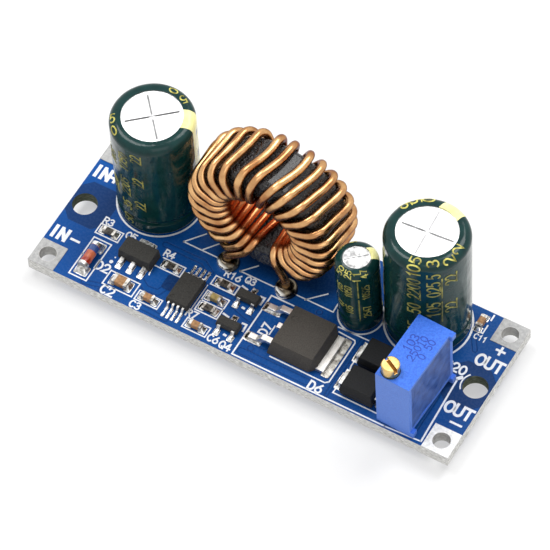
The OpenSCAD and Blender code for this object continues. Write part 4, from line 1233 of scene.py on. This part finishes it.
# Runs of points by their share of the usual line's width
RUNS = {
    0.7: [[(-7.85, -7.1), (-7.85, -2.9)]],
    1.0: [
        [(-14.7, -4.95), (-14.95, -3.5), (-11.35, -3.5), (-11.35, -2.06), (-14.4, -2.06)],
        [(-7.5, -5.0), (-4.5, -5.0)], [(2.0, -5.3), (2.0, -4.0)], [(20.0, -9.73), (24.6, -9.5)],
        [(9.0, -1.05), (11.2, -1.2), (11.4, -1.5), (11.4, -7.6), (11.0, -7.95), (3.6, -7.9)],
        [(12.7, -1.0), (12.55, -4.4), (12.7, -5.1), (12.5, -8.65), (18.5, -8.66)],
        [(-13.5, 1.05), (-8.9, 1.05)], [(-5.5, 0.7), (-0.75, 0.7)],
        [(2.1, 1.0), (7.0, 1.0), (6.95, 2.3)], [(-13.5, 1.05), (-11.7, 3.3)],
        [(-10.9, 1.2), (-9.5, 3.0)], [(-5.5, 0.65), (-4.0, 2.35)], [(3.25, 0.9), (5.2, 2.9)],
        [(22.5, 6.98), (23.82, 6.88), (23.82, 8.1)], [(8.6, -0.5), (12.6, -0.43)],
        arc(MOUNT_X, 0, MOUNT_R, MOUNT_R, 140, 215),
    ],
    1.15: [[(2.5, -0.47), (-0.5, -0.5), (-0.5, -9.73), (20.0, -9.73)]],
    1.2: [[(23.82, 9.7), (23.82, 8.95)]],
    1.3: [[(24.7, -9.43), (24.3, -0.2)]],
    1.5: [
        [(-1.5, -1.25), (-1.0, -1.2), (-1.0, -2.2)], [(-1.5, -5.5), (-1.0, -5.47), (-0.95, -6.4)],
        [(-4.15, -1.0), (-3.45, -1.15)], [(-4.15, -5.4), (-3.45, -5.55)],
    ],
    1.7: [[(-2.62, -3.6), (-2.45, -3.62)], [(-2.62, -7.9), (-2.45, -7.92)]],
    2.6: [[(24.3, 0.05), (24.6, 0.35)]],
}


def on_board(shapes):
    """Flat marks set down on the board's face as one."""
    points, faces = joined(shapes)
    return points + [0, 0, BOARD_TOP], faces


outlines = [
    ribbon([(x0, y0), (x1, y0), (x1, y1), (x0, y1)], LINE, closed=True) for x0, x1, y0, y1 in BOXES
]
outlines += [ribbon(run, LINE * wide) for wide, runs in RUNS.items() for run in runs]
outlines += [lathed([(r, 0), (r, INK_T), (0.1 * r, INK_T)], (x, y, 0), 20) for x, y, r in DOTS]
for key, (radius, width) in CAN_RINGS.items():
    circle = arc(*CAPS[key]["foot"][:2], radius, radius, 0, 354, 60)
    outlines.append(ribbon(circle, width, closed=True))
make_piece("silkscreen_outlines", on_board(outlines), SILK)

# %% Words on the board
# End marks as (text, centre, height, stroke), place marks as (text, x, y, size)
END_MARK, PLACE_MARK, PLACE_STROKE, UPWARD = 1.45, 0.86, 0.19, math.pi / 2
END_WORDS = [
    ("IN", (-27.2, -4.97), END_MARK, 0.44), ("-", (-24.95, -5.05), END_MARK * 1.05, 0.32),
    ("IN", (-27.2, 4.87), END_MARK, 0.44), ("+", (-25.3, 4.8), END_MARK, 0.36),
    ("OUT", (26.58, 3.6), END_MARK, 0.34), ("+", (26.85, 5.72), END_MARK * 1.05, 0.3),
    ("OUT", (26.54, -3.74), END_MARK, 0.34), ("-", (27.05, -5.5), END_MARK * 1.4, 0.28),
]
PLACE_WORDS = [
    ("R3", -22.77, -0.8, 1.0), ("Q5", -19.35, -1.3, 1.0), ("D2", -20.05, -6.65, 1.3),
    ("C2", -17.85, -9.26, 1.3), ("C3", -13.95, -9.4, 1.05), ("R4", -14.0, -1.3, 1.0),
    ("R16", -5.84, -0.32, 1.0), ("Q3", -3.67, 0.08, 1.0), ("R7", -7.4, -7.25, 1.05),
    ("C6", -3.47, -9.05, 1.05), ("Q4", -1.75, -9.2, 1.1), ("D6", 10.35, -9.0, 1.3),
    ("R20", 23.3, 1.3, 1.35), ("C11", 23.89, 6.2, 0.78),
]
marks = []
for row in END_WORDS:
    marks += word(*row)
for text, x, y, size in PLACE_WORDS:
    marks += word(text, (x, y), PLACE_MARK * size, PLACE_STROKE * size)
marks += word("D7", (1.2, -4.9), PLACE_MARK * 1.2, 0.22, turn=UPWARD)
make_piece("silkscreen_words", on_board(marks), SILK)

# %% [markdown]
# ## Print on the sleeves
# The gold print on a sleeve is drawn flat and then wrapped: the run round the can becomes
# an angle, and the height is a length along the can's outline, up the wall, over the
# rounded shoulder and in over the rim. Only plain numbers are printed. The film is drawn
# together over the shoulder as it shrinks, so the ink is denser there and thin below. A
# Shrinkwrap modifier could press flat letters on, but this keeps their size over the rim.

# %% What is printed where
SHOULDER, RIM_REACH = 1.06, 1.3
CAN_PRINT, CAN_STROKE, CAN_LINE = 1.5, 0.2, 0.16
CAN_LETTERS = {"turn": UPWARD, "spread": 0.8, "squeeze": 0.78, "step": 0.3}
PRINT_SCALE = {"input": 0.86, "output": 1.0, "small": 0.58}
# Columns of print as (angle, [(text, height on the can), ...])
PRINT = {
    "input": [
        (-83, [("22", 15.3), ("22", 10.5), ("22", 5.7)]),
        (-104, [("1050", 13.6), ("2205", 8.6), ("35", 4.8), ("50", 1.9)]),
        (-128, [("0", 17.3), ("105", 12.4), ("220", 7.0)]), (-148, [("5", 17.5), ("35", 12.0)]),
        (62, [("5", 17.9)]), (85, [("0", 17.9)]), (122, [("50", 14.0), ("1050", 9.0)]),
        (170, [("220", 14.0), ("35", 9.0), ("105", 5.0)]),
    ],
    "output": [
        (-79, [("105", 16.9), ("2200", 13.0), ("50", 9.2), ("35", 5.5)]),
        (-53, [("3", 17.6), ("5", 15.6), ("025", 13.1), ("105", 9.1)]),
        (-29, [("2", 17.4), ("22", 14.2), ("22", 8.9)]), (-8, [("2", 17.9)]),
        (117, [("0", 17.6), ("105", 12.0)]), (136, [("5", 17.6), ("220", 11.0)]),
        (152, [("35", 17.2), ("50", 11.6)]), (-150, [("105", 13.0), ("220", 8.0)]),
    ],
    "small": [
        (-112, [("50", 11.6), ("105", 8.4), ("47", 5.0)]), (-62, [("1", 11.8), ("1", 10.9)]),
        (-86, [("25", 11.6), ("1050", 8.3), ("105", 4.6)]),
        (-40, [("47", 11.7), ("10525", 8.2), ("2547", 4.2)]),
        (130, [("105", 11.2), ("47", 7.0)]), (170, [("25", 11.4), ("105", 7.0)]),
    ],
}
# Lines along a can as (angle, from, to)
LINES = {
    "input": [], "output": [(-42, 14.9, 11.2), (-42, 10.4, 6.6)],
    "small": [(-60, 10.6, 7.4), (-60, 6.8, 2.6)],
}
print("columns of print:", {key: len(columns) for key, columns in PRINT.items()})


# %% Wrapped print
def wrapped(shape, cap, degrees):
    """Flat (run, length, thickness) to the sleeve: an angle of run / r, and along the outline."""
    run, length, thick = shape[0].T
    wall = cap["height"] - SHOULDER
    over = np.clip((length - wall) / SHOULDER, 0, np.pi / 2)
    inward = np.maximum(length - wall - SHOULDER * np.pi / 2, 0)
    radius = cap["radius"] - SHOULDER * (1 - np.cos(over)) - inward + thick * np.cos(over)
    height = np.minimum(length, wall) + (SHOULDER + thick) * np.sin(over)
    angle = math.radians(degrees) + run / cap["radius"]
    local = np.stack([radius * np.cos(angle), radius * np.sin(angle), height], axis=1)
    return local @ cap["turn"].T + cap["foot"], shape[1]


def printed_words(key, on_rim):
    """The words near the rim of one can, or those below, each wrapped at its angle."""
    scale, rim, shapes = PRINT_SCALE[key], CAPS[key]["height"] - RIM_REACH, []
    for degrees, texts in PRINT[key]:
        for text, height in texts:
            if (height > rim) == on_rim:
                size = (CAN_PRINT * scale, CAN_STROKE * scale)
                flat = word(text, (0.0, height), *size, **CAN_LETTERS)
                shapes += [wrapped(shape, CAPS[key], degrees) for shape in flat]
    return shapes


def printed_lines(key):
    """Straight lines of ink along one can."""
    flat = [(at, dense([(0, start), (0, end)], 0.5)) for at, start, end in LINES[key]]
    return [wrapped(ribbon(line, CAN_LINE), CAPS[key], degrees) for degrees, line in flat]


for key in CAPS:
    below = printed_words(key, False) + printed_lines(key)
    make_piece(key + "_rim_print", joined(printed_words(key, True)), GOLD_INK)
    make_piece(key + "_print", joined(below), WORN_INK)

# %% [markdown]
# ## The trimmer's print and resin
# The trimmer stands a little askew, so its print and resin are laid out square to its own
# corner and then turned with it. The resin was poured into the open side: its face is not
# flat, it waves and climbs the walls a little. Such a face could be sculpted by hand, but
# two waves and a climb near the border are enough at this size.

# %% Trimmer print
TRIMMER_CORNER, TRIMMER_YAW = np.array([18.78, -9.4]), math.radians(-2.5)
TOP_WORDS = [("103", 1.3, 5.7, 1.0), ("25010", 2.35, 5.4, 0.88), ("0 50", 3.35, 5.8, 0.88)]
TOP_STROKE, TOP_INK = 0.14, 0.4
housing_high = node_box("trimmer_housing")[1]


def on_trimmer(points):
    """From the trimmer's corner and its own directions to the board's."""
    c, s = math.cos(TRIMMER_YAW), math.sin(TRIMMER_YAW)
    x, y, z = np.moveaxis(points, -1, 0)
    turned = [TRIMMER_CORNER[0] + c * x - s * y, TRIMMER_CORNER[1] + s * x + c * y, z]
    return np.stack(turned, axis=-1)


top_print = []
for text, x, y, size in TOP_WORDS:
    top_print += word(text, (x, y), size, size * TOP_STROKE, turn=UPWARD)
print_points, print_faces = joined(top_print)
print_points = on_trimmer(print_points * [1, 1, TOP_INK] + [0, 0, housing_high[2]])
make_piece("trimmer_print", (print_points, print_faces), DARK_INK)

# %% Resin face
RESIN_BACK, RESIN_FACE, RESIN_EDGE = 3.35, 4.38, 4.52
RESIN_Y, RESIN_CLIMB, RESIN_REACH = (0.55, 8.95), 0.14, 0.45
WAVE, RIPPLE = 0.07, 0.035
resin_low, resin_high = node_box("trimmer_resin")


def resin_block(rows=44, columns=64):
    """Rings up the slab: a face of crossed waves that climbs near its border, and a flat back."""
    v, u = np.linspace(0, 1, rows)[:, None], np.linspace(0, 1, columns)[None, :]
    y = RESIN_Y[0] + (RESIN_Y[1] - RESIN_Y[0]) * u + 0 * v
    z = resin_low[2] + (resin_high[2] - resin_low[2]) * v + 0 * u
    wave = WAVE * np.sin(5.2 * u + 2.6 * v + 0.6) * np.sin(4.4 * v - 1.7 * u)
    wave = wave + RIPPLE * np.sin(13 * u - 5 * v)
    sides = [y - RESIN_Y[0], RESIN_Y[1] - y, z - resin_low[2], resin_high[2] - z]
    climb = RESIN_CLIMB * np.exp(-np.min(sides, axis=0) / RESIN_REACH)
    face = np.minimum(RESIN_FACE + wave + climb, RESIN_EDGE)
    front = np.stack([face, y, z], axis=-1)
    back = front[:, [-1, 0]] * [0, 1, 1] + [RESIN_BACK, 0, 0]
    return swept(on_trimmer(np.concatenate([front, back], axis=1)))


make_piece("resin_face", resin_block(), RESIN, stands_for=["trimmer_resin"])

# %% [markdown]
# ## Floor, light and background
# A white floor and soft light from above. The sky, and a share of the floor, show plain
# white to the camera and to mirrors, while the lamps and the sky's own light stay at a
# plain level. Stronger lamps could whiten the floor too, but they would bleach the part.

# %% Floor
FLOOR_HALF, FLOOR_Z = 1500.0, cad_box[0][2] / MM
FLOOR_WHITE = 0.45
PAPER = {"Base Color": (0.9, 0.9, 0.9, 1.0), "Roughness": 0.9}


def seen_plainly(tree):
    """1 for rays that should see plain white: from the camera, off mirrors and through glass."""
    rays = add_node(tree, "ShaderNodeLightPath").outputs
    names = ("Is Camera Ray", "Is Glossy Ray", "Is Transmission Ray")
    camera, glossy, through = [Num(tree, rays[name]) for name in names]
    return calc("ADD", camera + glossy, through, clamp=True)


def add_floor():
    """A flat sheet under the part; part of what the camera sees of it is plain white."""
    mesh = bpy.data.meshes.new("floor")
    corners = np.array([(-1, -1, 0), (1, -1, 0), (1, 1, 0), (-1, 1, 0)]) * FLOOR_HALF
    mesh.from_pydata(((corners + [0, 0, FLOOR_Z]) * MM).tolist(), [], [(0, 1, 2, 3)])
    material, tree, shader = new_finish("floor_paper", PAPER)
    white = take(tree, "ShaderNodeEmission", {"Strength": 1.0})
    layers = {0: seen_plainly(tree) * FLOOR_WHITE, 1: Num(tree, shader.outputs[0]), 2: white}
    feed(tree.nodes["Material Output"], {"Surface": take(tree, "ShaderNodeMixShader", layers)})
    mesh.materials.append(material)
    floor = add_object("floor", mesh)


add_floor()
print("floor at", round(FLOOR_Z, 2), "mm")

# %% Light
SKY_LIGHT = 0.5
LIT_POINT = [0, 0, 5]
# Lamps as (name, place in mm, watts, size in mm)
LAMPS = [
    ("key", (-220, 40, 500), 1.3, 230), ("back", (80, 280, 440), 1.4, 260),
    ("fill", (260, -240, 380), 0.3, 300),
]


def add_lamp(name, place, watts, size):
    """A square soft lamp that faces the middle of the board."""
    data = bpy.data.lights.new(name, "AREA")
    data.energy = watts
    data.size = size * MM
    lamp = add_object(name, data)
    lamp.location = np.array(place) * MM
    x, y, z = np.array(place, float) - LIT_POINT
    lamp.rotation_euler = (math.acos(z / math.hypot(x, y, z)), 0, math.atan2(y, x) + math.pi / 2)


def add_sky():
    """White to the camera and to mirrors, a dimmer even light to everything else."""
    world = bpy.data.worlds.new("sky")
    world.use_nodes = True
    tree = world.node_tree
    strength = remap(seen_plainly(tree), 0, 1, SKY_LIGHT, 1.0)
    feed(tree.nodes["Background"], {"Color": (1, 1, 1, 1), "Strength": strength})
    bpy.context.scene.world = world


add_sky()
for lamp in LAMPS:
    add_lamp(*lamp)
bpy.context.scene.view_settings.view_transform = "Standard"
print("lamps:", [lamp[0] for lamp in LAMPS])
